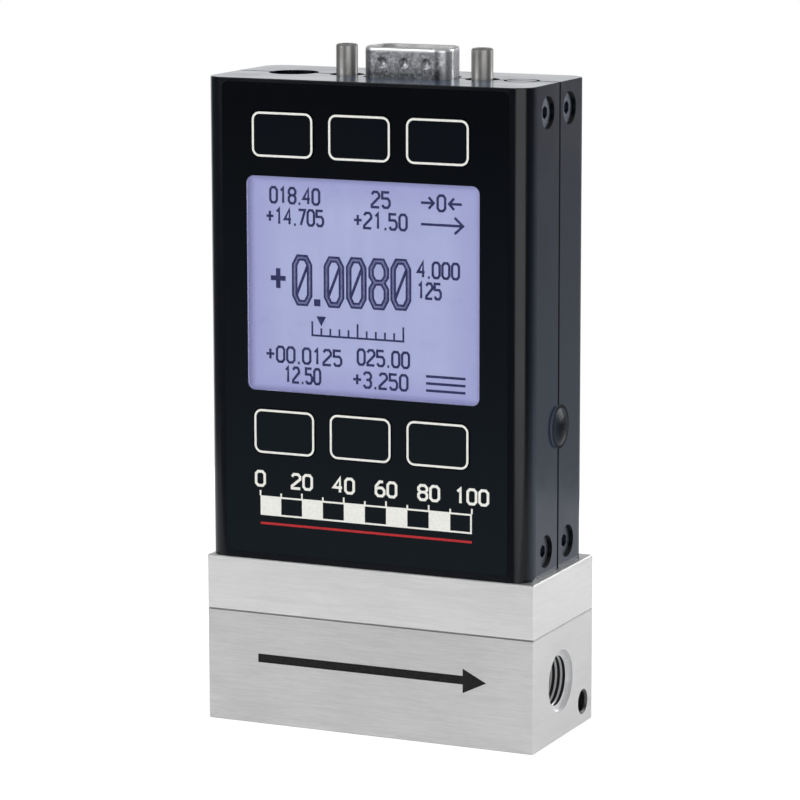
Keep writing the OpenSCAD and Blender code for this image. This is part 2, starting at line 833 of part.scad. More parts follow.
// Closed outside form of the case, with the top edge broken
module case_outside() {
    mid_y = (face_y + back_y) / 2;
    c = case_chamfer;
    translate([case_x, mid_y, 0]) {
        translate([0, 0, case_z]) linear_extrude(case_h - c) rounded_rect(case_w, case_d, case_corner_r);
        translate([0, 0, case_top_z - c]) {
            for (sx = [-1, 1], sy = [-1, 1])
                translate([sx * (case_w / 2 - case_corner_r), sy * (case_d / 2 - case_corner_r), 0])
                    cylinder(h = c, r1 = case_corner_r, r2 = case_corner_r - c);
            top_prism(case_w - 2 * case_corner_r, case_d, c);
            rotate([0, 0, 90]) top_prism(case_d - 2 * case_corner_r, case_w, c);
        }
    }
}

// Flat prism along X whose long edges lean in by its height
module top_prism(l, d, c) {
    translate([-l / 2, 0, 0]) rotate([90, 0, 90]) linear_extrude(l)
        polygon([[-d / 2, 0], [d / 2, 0], [d / 2 - c, c], [-d / 2 + c, c]]);
}

// Case walls, open at the bottom
module case_walls() {
    difference() {
        case_outside();
        translate([case_x, (inner_front_y + inner_back_y) / 2, case_z - overrun])
            linear_extrude(inner_top_z - case_z + overrun)
                rounded_rect(inner_w, inner_back_y - inner_front_y, inner_r);
    }
}

// Openings in the case top, which the seam runs through
module top_openings() {
    z0 = inner_top_z - overrun;
    h = top_wall + 2 * overrun;
    translate([dsub_x, seam_y, z0]) {
        linear_extrude(h) dsub_outline(-dsub_clear);
        for (side = [-1, 1])
            translate([side * dsub_spacing / 2, 0, 0]) cylinder(r = post_clear_r, h = h);
    }
    translate([jack_x, seam_y, z0]) cylinder(r = jack_hole_r, h = h);
    translate([top_plug_x, seam_y, z0]) cylinder(r = top_plug_r + seat_gap, h = h);
}

// Recess and hole for the side screws at one depth
module side_screw_cuts(y) {
    for (z = side_screw_z) translate([0, y, z]) {
        bar_x(case_left_x - overrun, case_right_x + overrun, screw_r + fit_gap);
        bar_x(case_left_x - overrun, case_left_x + screw_recess_d, screw_recess_r);
        bar_x(case_right_x - screw_recess_d, case_right_x + overrun, screw_recess_r);
    }
}

module side_plug_cut() {
    translate([0, seam_y, side_plug_z])
        bar_x(inner_right_x - overrun, case_right_x + overrun, side_plug_shank_r + seat_gap);
}

// The four posts that carry the display board
module at_bosses() {
    for (x = boss_x, z = boss_z)
        translate([x, 0, z]) children();
}

// Keys: column -1, 0 or 1, row -1 for the bottom and 1 for the top
function key_at(column, row) = [key_x + column * key_pitch, window_z + row * key_row];

module key_opening(column, row, y0, y1) {
    place = key_at(column, row);
    front_plate(place[0], place[1], key_w + 2 * key_gap, key_h + 2 * key_gap,
                key_corner_r + key_gap, y0, y1);
}

// Front half of the case
module front_shell() {
    color([0.12, 0.12, 0.13]) difference() {
        union() {
            intersection() {
                case_walls();
                span([case_left_x - overrun, face_y - overrun, case_z - overrun],
                     [case_right_x + overrun, seam_y - seam_gap / 2, case_top_z + overrun]);
            }
            at_bosses() bar_y(inner_front_y - boss_root, board_y, boss_r);
        }
        front_plate(case_x, overlay_z, overlay_w + 2 * fit_gap, overlay_h + 2 * fit_gap,
                    overlay_corner_r + fit_gap, face_y - overrun, face_y + overlay_t);
        front_plate(window_x, window_z, lcd_w + 2 * lcd_clear, lcd_h + 2 * lcd_clear,
                    window_corner_r, face_y, inner_front_y + overrun);
        for (column = [-1, 0, 1], row = [-1, 1])
            key_opening(column, row, face_y, inner_front_y + overrun);
        at_bosses() bar_y(board_y - boss_screw_d - seat_gap, board_y + overrun, boss_screw_r);
        top_openings();
        side_screw_cuts(side_screw_y[0]);
        side_plug_cut();
    }
}

// Rear half of the case
module rear_shell() {
    color([0.12, 0.12, 0.13]) difference() {
        intersection() {
            case_walls();
            span([case_left_x - overrun, seam_y + seam_gap / 2, case_z - overrun],
                 [case_right_x + overrun, back_y + overrun, case_top_z + overrun]);
        }
        top_openings();
        side_screw_cuts(side_screw_y[1]);
        side_plug_cut();
    }
}

// Screw along X: side is 1 for the right wall and -1 for the left
module side_screw(side) {
    rotate([0, 90 * side, 0]) down_screw(screw_head_r, screw_head_h, screw_l);
}

// Eight screws that hold both shells to the bracket and the case mounts
module side_screws() {
    color([0.15, 0.15, 0.16])
        for (side = [-1, 1], y = side_screw_y, z = side_screw_z)
            translate([case_x + side * (case_w / 2 - screw_recess_d), y, z]) side_screw(side);
}

// Domed plug in the hole that the seam crosses
module side_hole_plug() {
    dome_r = side_plug_r - side_plug_step;
    dome_h = side_plug_h - side_plug_rim;
    ball_r = (dome_r * dome_r + dome_h * dome_h) / (2 * dome_h);
    half_angle = asin(dome_r / ball_r);
    dome = [
        for (s = [0 : dome_steps])
            let (turn = half_angle * (1 - s / dome_steps))
                [ball_r * sin(turn), side_plug_h - ball_r * (1 - cos(turn))]
    ];
    foot = -side_wall - side_plug_shank_in;
    shank = [[0, foot], [side_plug_shank_r, foot], [side_plug_shank_r, 0]];
    rim = [[side_plug_r, 0], [side_plug_r, side_plug_rim]];
    color([0.07, 0.07, 0.08]) translate([case_right_x, seam_y, side_plug_z])
        rotate([0, 90, 0]) rotate_extrude() polygon(concat(shank, rim, dome));
}

// Flush round plug in the top
module top_hole_plug() {
    color([0.1, 0.1, 0.11]) translate([top_plug_x, seam_y, 0]) {
        bar_z(inner_top_z, case_top_z - top_plug_chamfer, top_plug_r);
        translate([0, 0, case_top_z - top_plug_chamfer])
            cylinder(h = top_plug_chamfer, r1 = top_plug_r, r2 = top_plug_r - top_plug_chamfer);
    }
}

// Thin printed sheet over the front shell
module front_overlay() {
    color([0.05, 0.05, 0.06]) difference() {
        front_plate(case_x, overlay_z, overlay_w, overlay_h, overlay_corner_r,
                    face_y, face_y + overlay_t);
        front_plate(window_x, window_z, window_w + 2 * fit_gap, window_h + 2 * fit_gap,
                    window_corner_r + fit_gap, face_y - overrun, face_y + overlay_t + overrun);
        for (column = [-1, 0, 1], row = [-1, 1])
            key_opening(column, row, face_y - overrun, face_y + overlay_t + overrun);
    }
}

// Clear sheet in the overlay's window
module display_window() {
    color([0.7, 0.72, 0.9, 0.4])
        front_plate(window_x, window_z, window_w, window_h, window_corner_r,
                    face_y, face_y + overlay_t);
}

// Pressed metal frame round the display glass, open at the back
module lcd_frame() {
    inner_lcd_w = lcd_w - 2 * lcd_sheet;
    inner_lcd_h = lcd_h - 2 * lcd_sheet;
    color([0.7, 0.7, 0.72]) translate([window_x, 0, window_z]) difference() {
        span([-lcd_w / 2, lcd_y, -lcd_h / 2], [lcd_w / 2, board_y, lcd_h / 2]);
        span([-inner_lcd_w / 2, lcd_y + lcd_sheet, -inner_lcd_h / 2],
             [inner_lcd_w / 2, board_y + overrun, inner_lcd_h / 2]);
        span([-lcd_open_w / 2, lcd_y - overrun, -lcd_open_h / 2],
             [lcd_open_w / 2, board_y, lcd_open_h / 2]);
    }
}

// Slab inside the metal frame, from y0 to y1
module lcd_slab(y0, y1) {
    half_w = lcd_w / 2 - lcd_sheet - seat_gap;
    half_h = lcd_h / 2 - lcd_sheet - seat_gap;
    translate([window_x, 0, window_z]) span([-half_w, y0, -half_h], [half_w, y1, half_h]);
}

module lcd_glass() {
    color([0.65, 0.68, 0.85]) lcd_slab(lcd_glass_y, lcd_glass_y + lcd_glass_t);
}

module backlight() {
    color([0.9, 0.9, 0.95]) lcd_slab(backlight_y, board_y - board_gap);
}

// Board behind the display, which carries the key switches
module display_board() {
    color([0.05, 0.3, 0.15]) difference() {
        union() {
            span([inner_left_x + board_side, board_y, board_z],
                 [inner_right_x - board_side, board_back_y, lug_z - board_side]);
            span([case_x - neck_w / 2, board_y, board_z], [case_x + neck_w / 2, board_back_y, neck_z]);
        }
        at_bosses() bar_y(board_y - overrun, board_back_y + overrun, boss_screw_r + seat_gap);
        translate([jack_x, seam_y, 0]) bar_z(io_board_top_z - board_gap, case_top_z, jack_r + board_gap);
    }
}

// Four small screws that hold the display board on the front shell's posts
module display_screws() {
    color([0.55, 0.55, 0.57]) at_bosses() {
        bar_y(board_y - boss_screw_d, board_back_y, boss_screw_r - fit_gap);
        difference() {
            bar_y(board_back_y, board_back_y + boss_head_h, boss_head_r);
            cross_slot(board_back_y + boss_head_h / 2, boss_head_r);
        }
    }
}

// Cross-shaped recess in a small screw head, open to the rear
module cross_slot(y0, head_r) {
    arm = head_r / 2;
    half = head_r / 6;
    span([-arm, y0, -half], [arm, y0 + head_r, half]);
    span([-half, y0, -arm], [half, y0 + head_r, arm]);
}

// Six push switches on the display board
module key_switches() {
    front_y = board_y - switch_h;
    half = switch_w / 2;
    for (column = [-1, 0, 1], row = [-1, 1]) {
        place = key_at(column, row);
        translate([place[0], 0, place[1]]) {
            color([0.12, 0.12, 0.12]) span([-half, front_y, -half], [half, board_y, half]);
            color([0.7, 0.6, 0.4]) bar_y(front_y - plunger_h, front_y + fit_gap, plunger_r);
        }
    }
}

// One key: the cap that shows, the lip behind the front wall and the stem
module key(column, row) {
    place = key_at(column, row);
    color([0.06, 0.06, 0.07]) {
        front_plate(place[0], place[1], key_w, key_h, key_corner_r, face_y - key_proud,
                    key_lip_back_y);
        front_plate(place[0], place[1], key_w + 2 * key_lip, key_h + 2 * key_lip, key_corner_r,
                    key_lip_y, key_lip_back_y);
        translate([place[0], 0, place[1]]) bar_y(key_lip_back_y - fit_gap, key_stem_y, key_stem_r);
    }
}

module key_top_left() { key(-1, 1); }
module key_top_middle() { key(0, 1); }
module key_top_right() { key(1, 1); }
module key_bottom_left() { key(-1, -1); }
module key_bottom_middle() { key(0, -1); }
module key_bottom_right() { key(1, -1); }

// The four spacers between the display board and the main board
module at_spacers() {
    for (x = spacer_x, z = spacer_z)
        translate([x, 0, z]) children();
}

module board_spacers() {
    color([0.72, 0.65, 0.4]) at_spacers() difference() {
        translate([0, board_back_y, 0]) rotate([-90, 0, 0]) hexagon(spacer_flats, spacer_l);
        bar_y(board_back_y + spacer_flats / 4, main_board_y + overrun, spacer_hole_r);
    }
}

module main_board() {
    color([0.05, 0.3, 0.15]) difference() {
        span([case_x - neck_w / 2, main_board_y, board_z],
             [case_x + neck_w / 2, main_board_back_y, main_board_top_z]);
        at_spacers()
            bar_y(main_board_y - overrun, main_board_back_y + overrun, spacer_hole_r + seat_gap);
    }
}

module board_screws() {
    color([0.55, 0.55, 0.57]) at_spacers() {
        bar_y(board_back_y + spacer_flats / 2, main_board_back_y, spacer_hole_r - fit_gap);
        difference() {
            bar_y(main_board_back_y, main_board_back_y + spacer_head_h, spacer_head_r);
            cross_slot(main_board_back_y + spacer_head_h / 2, spacer_head_r);
        }
    }
}

// Chips and capacitors on the rear of the main board
module main_board_parts() {
    middle_z = (board_z + main_board_top_z) / 2;
    translate([case_x, main_board_back_y, middle_z]) {
        color([0.06, 0.06, 0.06]) {
            board_chip(0, chip_step, 2 * chip_w, 2 * chip_w);
            board_chip(-chip_step, 0, chip_w, chip_w * 3 / 2);
            board_chip(chip_step, -chip_step, chip_w * 3 / 2, chip_w);
        }
        color([0.25, 0.27, 0.35])
            for (turn = [-1, 1])
                translate([turn * chip_step, 0, -chip_step * 3 / 2]) bar_y(0, capacitor_h, capacitor_r);
    }
}

module board_chip(x, z, w, h) {
    span([x - w / 2, 0, z - h / 2], [x + w / 2, chip_t, z + h / 2]);
}

// Board under the case top, which carries the jack and the connector's pins
module io_board() {
    x0 = inner_left_x + seat_gap + lug_t + board_gap;
    x1 = inner_right_x - seat_gap - lug_t - board_gap;
    color([0.05, 0.3, 0.15]) difference() {
        span([x0, board_back_y + boss_head_h + board_gap, io_board_z], [x1, mount_back_y, io_board_top_z]);
        at_pins() bar_z(io_board_z - overrun, io_board_top_z + overrun, pin_r + fit_gap);
        at_io_pins() bar_z(io_board_z - overrun, io_board_top_z + overrun, io_pin_r + fit_gap);
    }
}

module at_io_pins() {
    for (pin = [0 : io_pin_count - 1])
        translate([io_header_x + (pin - (io_pin_count - 1) / 2) * io_pin_pitch,
                   main_board_back_y + header_t / 2, 0])
            children();
}

// Pin strip that joins the main board to the board under the top
module io_header() {
    color([0.08, 0.08, 0.08])
        span([io_header_x - io_header_w / 2, main_board_back_y, main_board_top_z - io_header_h],
             [io_header_x + io_header_w / 2, main_board_back_y + header_t, main_board_top_z]);
    color([0.8, 0.7, 0.35]) at_io_pins()
        bar_z(main_board_top_z - io_header_h / 2, io_board_top_z + io_pin_r, io_pin_r);
}

function unit(v) = v / norm(v);

// Arc that rounds the corner p between its neighbours a and b, all anticlockwise
function corner_arc(a, p, b, r, steps) =
    let (u = unit(p - a), v = unit(b - p), turn = acos(u * v),
         centre = p + unit(v - u) * r / cos(turn / 2), start = atan2(-u[0], u[1]))
    [for (s = [0 : steps]) let (angle = start + turn * s / steps) centre + r * [cos(angle), sin(angle)]];

function rounded_points(points, r, steps) =
    let (n = len(points))
    [for (i = [0 : n - 1])
        each corner_arc(points[(i + n - 1) % n], points[i], points[(i + 1) % n], r, steps)];

// Outline of the connector's shell, wide side to the front, drawn in by an inset
module dsub_outline(inset) {
    front = dsub_w / 2 - inset * tan(dsub_lean) - inset / cos(dsub_lean);
    rear = dsub_w / 2 - (dsub_d - inset) * tan(dsub_lean) - inset / cos(dsub_lean);
    half_d = dsub_d / 2 - inset;
    corners = [[-front, -half_d], [front, -half_d], [rear, half_d], [-rear, half_d]];
    polygon(rounded_points(corners, dsub_corner_r - inset, corner_steps));
}

// Metal shell and flange of the data connector, with pressed dimples
module dsub_shell() {
    dimple_y = dsub_d / 2 + dimple_r - dimple_d;
    color([0.75, 0.75, 0.77]) translate([dsub_x, seam_y, inner_top_z]) difference() {
        union() {
            translate([0, 0, -flange_t]) linear_extrude(flange_t)
                rounded_rect(flange_w, flange_d, flange_corner_r);
            linear_extrude(dsub_h) dsub_outline(0);
        }
        translate([0, 0, -flange_t - overrun])
            linear_extrude(dsub_h + flange_t + 2 * overrun) dsub_outline(dsub_sheet);
        for (side = [-1, 1])
            translate([side * dsub_spacing / 2, 0, 0])
                bar_z(-flange_t - overrun, overrun, shank_r + fit_gap);
        for (step = [-1, 0, 1])
            translate([step * dimple_step, -dimple_y, dsub_h - dimple_down]) sphere(r = dimple_r);
        for (step = [-1, 1])
            translate([step * dimple_step / 2, dimple_y, dsub_h - dimple_down]) sphere(r = dimple_r);
    }
}

// Places of the nine contact pins: five in front, four behind
module at_pins() {
    translate([dsub_x, seam_y, 0]) {
        for (pin = [-2 : 2])
            translate([pin * pin_pitch, -pin_rows / 2, 0]) children();
        for (pin = [-2 : 1])
            translate([(pin + 1 / 2) * pin_pitch, pin_rows / 2, 0]) children();
    }
}

// Moulded insert that holds the pins
module dsub_insert() {
    color([0.08, 0.08, 0.09]) difference() {
        translate([dsub_x, seam_y, inner_top_z - flange_t]) {
            linear_extrude(flange_t + insert_up) dsub_outline(dsub_sheet + fit_gap);
            span([-insert_w / 2, -insert_d / 2, -insert_h], [insert_w / 2, insert_d / 2, 0]);
        }
        at_pins() bar_z(io_board_top_z, case_top_z, pin_r + fit_gap);
    }
}

module dsub_pins() {
    tip_z = inner_top_z + dsub_h - pin_down;
    color([0.85, 0.72, 0.35]) at_pins() {
        bar_z(io_board_z - pin_tail, tip_z - pin_tip_h, pin_r);
        translate([0, 0, tip_z - pin_tip_h]) cylinder(h = pin_tip_h, r1 = pin_r, r2 = pin_r / 2);
    }
}

module at_jackscrews() {
    for (side = [-1, 1])
        translate([dsub_x + side * dsub_spacing / 2, seam_y, 0]) children();
}

// Round threaded posts beside the connector, with shanks through its flange
module jackscrews() {
    top_z = case_top_z + post_h;
    color([0.6, 0.6, 0.62]) at_jackscrews() difference() {
        union() {
            bar_z(inner_top_z, top_z - post_chamfer, post_r);
            translate([0, 0, top_z - post_chamfer])
                cylinder(h = post_chamfer, r1 = post_r, r2 = post_r - post_chamfer);
            bar_z(inner_top_z - flange_t - shank_l, inner_top_z + fit_gap, shank_r);
        }
        bar_z(top_z - post_hole_d, top_z + overrun, post_hole_r);
    }
}

module jackscrew_nuts() {
    z1 = inner_top_z - flange_t;
    color([0.7, 0.7, 0.7]) at_jackscrews() difference() {
        bar_z(z1 - nut_h, z1, nut_r);
        bar_z(z1 - nut_h - overrun, z1 + overrun, shank_r + fit_gap);
    }
}

// Round body of the power jack
module power_jack() {
    color([0.07, 0.07, 0.07]) translate([jack_x, seam_y, 0]) difference() {
        bar_z(io_board_top_z, inner_top_z, jack_r);
        bar_z(inner_top_z - jack_socket_d, inner_top_z + overrun, jack_socket_r);
    }
}

module power_jack_pin() {
    color([0.75, 0.75, 0.77]) translate([jack_x, seam_y, 0]) {
        bar_z(inner_top_z - jack_socket_d, inner_top_z - jack_pin_down - jack_pin_r, jack_pin_r);
        translate([0, 0, inner_top_z - jack_pin_down - jack_pin_r]) sphere(r = jack_pin_r);
    }
}

flow_body();
adapter_block();
flow_element();
element_retainers();
tap_seals();
block_screws();
differential_sensor();
absolute_sensor();
temperature_probe();
sensor_seals();
sensor_board();
sensor_header();
left_case_mount();
right_case_mount();
mount_screws();
top_bracket();
front_shell();
rear_shell();
side_screws();
side_hole_plug();
top_hole_plug();
front_overlay();
display_window();
lcd_frame();
lcd_glass();
backlight();
display_board();
display_screws();
key_switches();
key_top_left();
key_top_middle();
key_top_right();
key_bottom_left();
key_bottom_middle();
key_bottom_right();
board_spacers();
main_board();
board_screws();
main_board_parts();
io_board();
io_header();
dsub_shell();
dsub_insert();
dsub_pins();
jackscrews();
jackscrew_nuts();
power_jack();
power_jack_pin();
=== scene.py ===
import math

import bmesh
import bpy
from mathutils import Matrix, Vector
from mathutils.geometry import tessellate_polygon


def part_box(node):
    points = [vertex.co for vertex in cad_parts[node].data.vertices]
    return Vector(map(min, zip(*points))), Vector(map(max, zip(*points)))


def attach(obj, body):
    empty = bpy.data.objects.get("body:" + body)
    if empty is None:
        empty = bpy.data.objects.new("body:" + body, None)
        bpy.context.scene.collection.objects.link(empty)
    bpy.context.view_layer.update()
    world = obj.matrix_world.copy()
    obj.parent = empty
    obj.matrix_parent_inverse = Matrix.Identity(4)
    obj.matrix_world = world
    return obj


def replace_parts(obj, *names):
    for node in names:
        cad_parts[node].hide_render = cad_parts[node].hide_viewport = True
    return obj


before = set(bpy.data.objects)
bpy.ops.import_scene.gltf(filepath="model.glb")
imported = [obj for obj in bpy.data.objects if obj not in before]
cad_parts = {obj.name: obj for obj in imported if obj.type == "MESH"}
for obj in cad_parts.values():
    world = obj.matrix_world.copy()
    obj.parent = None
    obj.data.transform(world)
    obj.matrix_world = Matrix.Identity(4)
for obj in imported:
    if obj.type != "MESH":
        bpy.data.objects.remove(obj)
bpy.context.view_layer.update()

MM = 0.001
KEYS = [f"key_{row}_{place}" for row in ("bottom", "top") for place in ("left", "middle", "right")]


def box_mm(node):
    """Lowest and highest corners of a node at rest, in millimetres."""
    return [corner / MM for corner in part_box(node)]


# Places taken from the frame, in millimetres
BODY_LOW, BODY_HIGH = box_mm("flow_body")
SHELL_LOW, SHELL_HIGH = box_mm("dsub_shell")
OVERLAY_FRONT_Y = box_mm("front_overlay")[0].y
KEY_FRONT_Y = box_mm(KEYS[0])[0].y
GLASS_FRONT_Y = box_mm("lcd_glass")[0].y
SEAM_Y = (box_mm("front_shell")[1].y + box_mm("rear_shell")[0].y) / 2
JOINT_Z = BODY_HIGH.z

# Half widths of the painted shade along the case's seam and of the painted shade on the line between the
# blocks
SEAM_SHADE_HALF_WIDTH = 0.36
JOINT_LINE_SHADE_HALF = 0.16

# Heights between which the case's sides and its front sheet get darker, as their painted reflection fades
SIDE_REFLECTION_FULL_Z = 42.0
SIDE_REFLECTION_FADED_Z = 108.0
FRONT_REFLECTION_FULL_Z = 32.0
FRONT_REFLECTION_FADED_Z = 108.0


# Material nodes

def srgb(red, green, blue):
    """Linear colour from the usual 0 to 255 values."""
    def linear(value):
        value /= 255
        return value / 12.92 if value <= 0.04045 else ((value + 0.055) / 1.055) ** 2.4
    return (linear(red), linear(green), linear(blue), 1.0)


def scaled(colour, share, lift=0.0):
    """Lighter or darker version of a colour."""
    return tuple(min(1.0, c * share + lift) for c in colour[:3]) + (1.0,)


def connect(tree, value, slot):
    """Sets a slot to a number or a colour, or links a socket to it."""
    if isinstance(value, (int, float, tuple)):
        slot.default_value = value
    else:
        tree.links.new(value, slot)


def node_math(tree, operation, first, second=0.0):
    """Result of one sum on two sockets or numbers."""
    node = tree.nodes.new("ShaderNodeMath")
    node.operation = operation
    connect(tree, first, node.inputs[0])
    connect(tree, second, node.inputs[1])
    return node.outputs[0]


def node_range(tree, socket, start, stop, low, high, kind="LINEAR"):
    """The socket's values from start to stop, spread from low to high."""
    node = tree.nodes.new("ShaderNodeMapRange")
    node.interpolation_type = kind
    for name, value in (("From Min", start), ("From Max", stop), ("To Min", low), ("To Max", high)):
        node.inputs[name].default_value = value
    tree.links.new(socket, node.inputs["Value"])
    return node.outputs["Result"]


def node_parts(tree, vector):
    """The X, Y and Z sockets of a vector socket."""
    node = tree.nodes.new("ShaderNodeSeparateXYZ")
    tree.links.new(vector, node.inputs["Vector"])
    return node.outputs


class Finish:
    """A material made of nodes. Grain is given in features per millimetre along x, y and z."""

    def __init__(self, name, colour, roughness, metallic=0.0, specular=0.5):
        self.material = bpy.data.materials.new(name)
        self.material.use_nodes = True
        self.tree = self.material.node_tree
        self.shader = self.tree.nodes["Principled BSDF"]
        self.set("Base Color", colour)
        self.set("Roughness", roughness)
        self.set("Metallic", metallic)
        self.set("Specular IOR Level", specular)
        self.normal = None

    def set(self, name, value):
        self.shader.inputs[name].default_value = value

    def link(self, socket, name):
        self.tree.links.new(socket, self.shader.inputs[name])

    def node(self, kind):
        return self.tree.nodes.new(kind)

    def place(self):
        """Place on the object, in metres."""
        return self.node("ShaderNodeTexCoord").outputs["Object"]

    def place_parts(self):
        return node_parts(self.tree, self.place())

    def grained(self, grain):
        """Place scaled to the grain."""
        mapping = self.node("ShaderNodeMapping")
        mapping.inputs["Scale"].default_value = [g / MM for g in grain]
        self.tree.links.new(self.place(), mapping.inputs["Vector"])
        return mapping.outputs["Vector"]

    def noise(self, grain, detail=2.0, rough=0.5):
        texture = self.node("ShaderNodeTexNoise")
        texture.inputs["Scale"].default_value = 1.0
        texture.inputs["Detail"].default_value = detail
        texture.inputs["Roughness"].default_value = rough
        self.tree.links.new(self.grained(grain), texture.inputs["Vector"])
        return texture.outputs["Fac"]

    def patches(self):
        """Wide soft patches, from 0 to 1."""
        return self.spread(self.noise((0.12, 0.12, 0.12)), 0.0, 1.0)

    def spread(self, socket, low, high, start=0.3, stop=0.7):
        """The socket's values from start to stop, spread from low to high.

        Without start and stop it suits noise, which lies mostly between 0.3 and 0.7.
        """
        return node_range(self.tree, socket, start, stop, low, high)

    def math(self, operation, first, second=0.0):
        return node_math(self.tree, operation, first, second)

    def weigh(self, first, second, share):
        """That share of the first socket and the rest of the second."""
        rest = self.math("MULTIPLY", second, 1 - share)
        return self.math("ADD", self.math("MULTIPLY", first, share), rest)

    def vector_math(self, operation, socket, vector=(0.0, 0.0, 0.0)):
        node = self.node("ShaderNodeVectorMath")
        node.operation = operation
        connect(self.tree, socket, node.inputs[0])
        connect(self.tree, vector, node.inputs[1])
        return node.outputs

    def blend(self, socket, first, second):
        """Colour that goes from first to second with the socket; each is a colour or a socket."""
        mix = self.node("ShaderNodeMix")
        mix.data_type = "RGBA"
        self.tree.links.new(socket, mix.inputs["Factor"])
        connect(self.tree, first, mix.inputs[6])
        connect(self.tree, second, mix.inputs[7])
        return mix.outputs[2]

    def bump(self, socket, height_mm):
        """Adds relief of that height to what is there."""
        bump = self.node("ShaderNodeBump")
        bump.inputs["Distance"].default_value = height_mm * MM
        bump.inputs["Strength"].default_value = 1.0
        self.tree.links.new(socket, bump.inputs["Height"])
        if self.normal:
            self.tree.links.new(self.normal, bump.inputs["Normal"])
        self.normal = bump.outputs["Normal"]
        self.link(self.normal, "Normal")

    def inside_bore(self, y, z, radius, reach):
        """1 in a cylinder along x that goes from -reach to reach in millimetres, 0 outside."""
        shifted = self.vector_math("SUBTRACT", self.place(), (0.0, y * MM, z * MM))["Vector"]
        across = self.vector_math("MULTIPLY", shifted, (0.0, 1.0, 1.0))["Vector"]
        away = self.vector_math("LENGTH", across)["Value"]
        along = self.math("ABSOLUTE", self.place_parts()["X"])
        near = self.math("LESS_THAN", away, radius * MM)
        return self.math("MULTIPLY", near, self.math("LESS_THAN", along, reach * MM))

    def along_normal(self, axis):
        """Share of an axis in the surface's direction, from 0 to 1."""
        normal = self.node("ShaderNodeNewGeometry").outputs["Normal"]
        return self.math("ABSOLUTE", node_parts(self.tree, normal)[axis])

    def facing(self, axis, start=0.4, stop=0.9):
        """1 on faces square to an axis, 0 on those that lie along it."""
        return self.spread(self.along_normal(axis), 0.0, 1.0, start, stop)

    def level(self):
        """1 on faces that look up or down, 0 on upright ones."""
        return self.math("GREATER_THAN", self.along_normal("Z"), 0.7)

    def near(self, axis, at, half):
        """1 within half a band's width of a place along an axis in millimetres, 0 elsewhere."""
        away = self.math("ABSOLUTE", self.math("SUBTRACT", self.place_parts()[axis], at * MM))
        return self.math("LESS_THAN", away, half * MM)

    def height(self, start, stop, low=0.0, high=1.0):
        """Goes from low to high between two heights in millimetres."""
        return self.spread(self.place_parts()["Z"], low, high, start * MM, stop * MM)


# Materials

# Painted shade on the line between the blocks, and the painted highlight blended over the ends of the
# block with bores
JOINT_LINE_PAINTED_SHADE = srgb(156, 156, 158)
END_PAINTED_HIGHLIGHT = srgb(240, 240, 240)
END_HIGHLIGHT_SHARE = 0.4
# How far the turned bore is from the brushed faces in metallic and in roughness
TURNED_DULLER = 0.7
TURNED_SMOOTHER = 0.2
# How far the brushing moves the roughness each way
BRUSHED_RANGE = 0.06


def brushed_steel(name, dark, light, roughness, relief, bores=()):
    """Steel brushed along the block: fine lines on the sides, and along x on top.

    Bores along x are (y, z, radius, reach, colour), wide ones first. The first one is turned, which
    scatters more light than the brushed faces. A block with bores gets a painted highlight on its ends.
    """
    finish = Finish(name, light, roughness, metallic=1.0)
    level = finish.level()
    upright = finish.math("SUBTRACT", 1.0, level)

    def lines(along, across, detail):
        """Brush marks, with so many features per millimetre along them and across them."""
        sides = finish.math("MULTIPLY", finish.noise((along, along, across), detail), upright)
        top = finish.math("MULTIPLY", finish.noise((along, across, along), detail), level)
        return finish.math("ADD", sides, top)

    brushing = finish.weigh(lines(0.12, 3.2, 3.0), lines(0.5, 9.0, 2.0), 0.5)
    cloud = finish.noise((0.06, 0.06, 0.1), 1.0)
    tone = finish.weigh(brushing, cloud, 0.75)
    face = finish.blend(finish.spread(tone, 0.0, 1.0, 0.38, 0.6), dark, light)
    if bores:
        # Painted highlight on the block's ends
        ends = finish.math("MULTIPLY", finish.facing("X"), END_HIGHLIGHT_SHARE)
        face = finish.blend(ends, face, END_PAINTED_HIGHLIGHT)
    # Painted shade along the joint between the blocks
    face = finish.blend(finish.near("Z", JOINT_Z, JOINT_LINE_SHADE_HALF), face, JOINT_LINE_PAINTED_SHADE)
    # Bore colours; the thread's grooves and the small hole take painted shade
    for y, z, radius, reach, colour in bores:
        face = finish.blend(finish.inside_bore(y, z, radius, reach), face, colour)
    finish.link(face, "Base Color")
    rough = finish.spread(brushing, roughness - BRUSHED_RANGE, roughness + BRUSHED_RANGE)
    if bores:
        turned = finish.inside_bore(*bores[0][:4])
        duller = finish.math("MULTIPLY", turned, TURNED_DULLER)
        finish.link(finish.math("SUBTRACT", 1.0, duller), "Metallic")
        rough = finish.math("SUBTRACT", rough, finish.math("MULTIPLY", turned, TURNED_SMOOTHER))
    finish.link(rough, "Roughness")
    finish.bump(brushing, relief)
    return finish.material


def machined_metal(name, colour, roughness, grain=3.0, relief=0.004, metallic=1.0):
    """Turned or pressed metal with faint marks and patches."""
    finish = Finish(name, colour, roughness, metallic=metallic)
    marks = finish.noise((grain, grain, grain), 3.0, 0.6)
    patches = finish.noise((0.35, 0.35, 0.35))
    face = finish.blend(finish.spread(patches, 0.0, 1.0), scaled(colour, 0.78), colour)
    finish.link(face, "Base Color")
    finish.link(finish.spread(marks, roughness - 0.08, roughness + 0.08), "Roughness")
    finish.bump(marks, relief)
    return finish.material


# Depths below the connector's top: where the painted highlight on its rim ends, and where the painted
# shade on its wall sets in
RIM_HIGHLIGHT_FULL = 0.4
RIM_HIGHLIGHT_ENDS = 0.8
WALL_SHADE_STARTS = 2.5
WALL_SHADE_FULL = 4.5


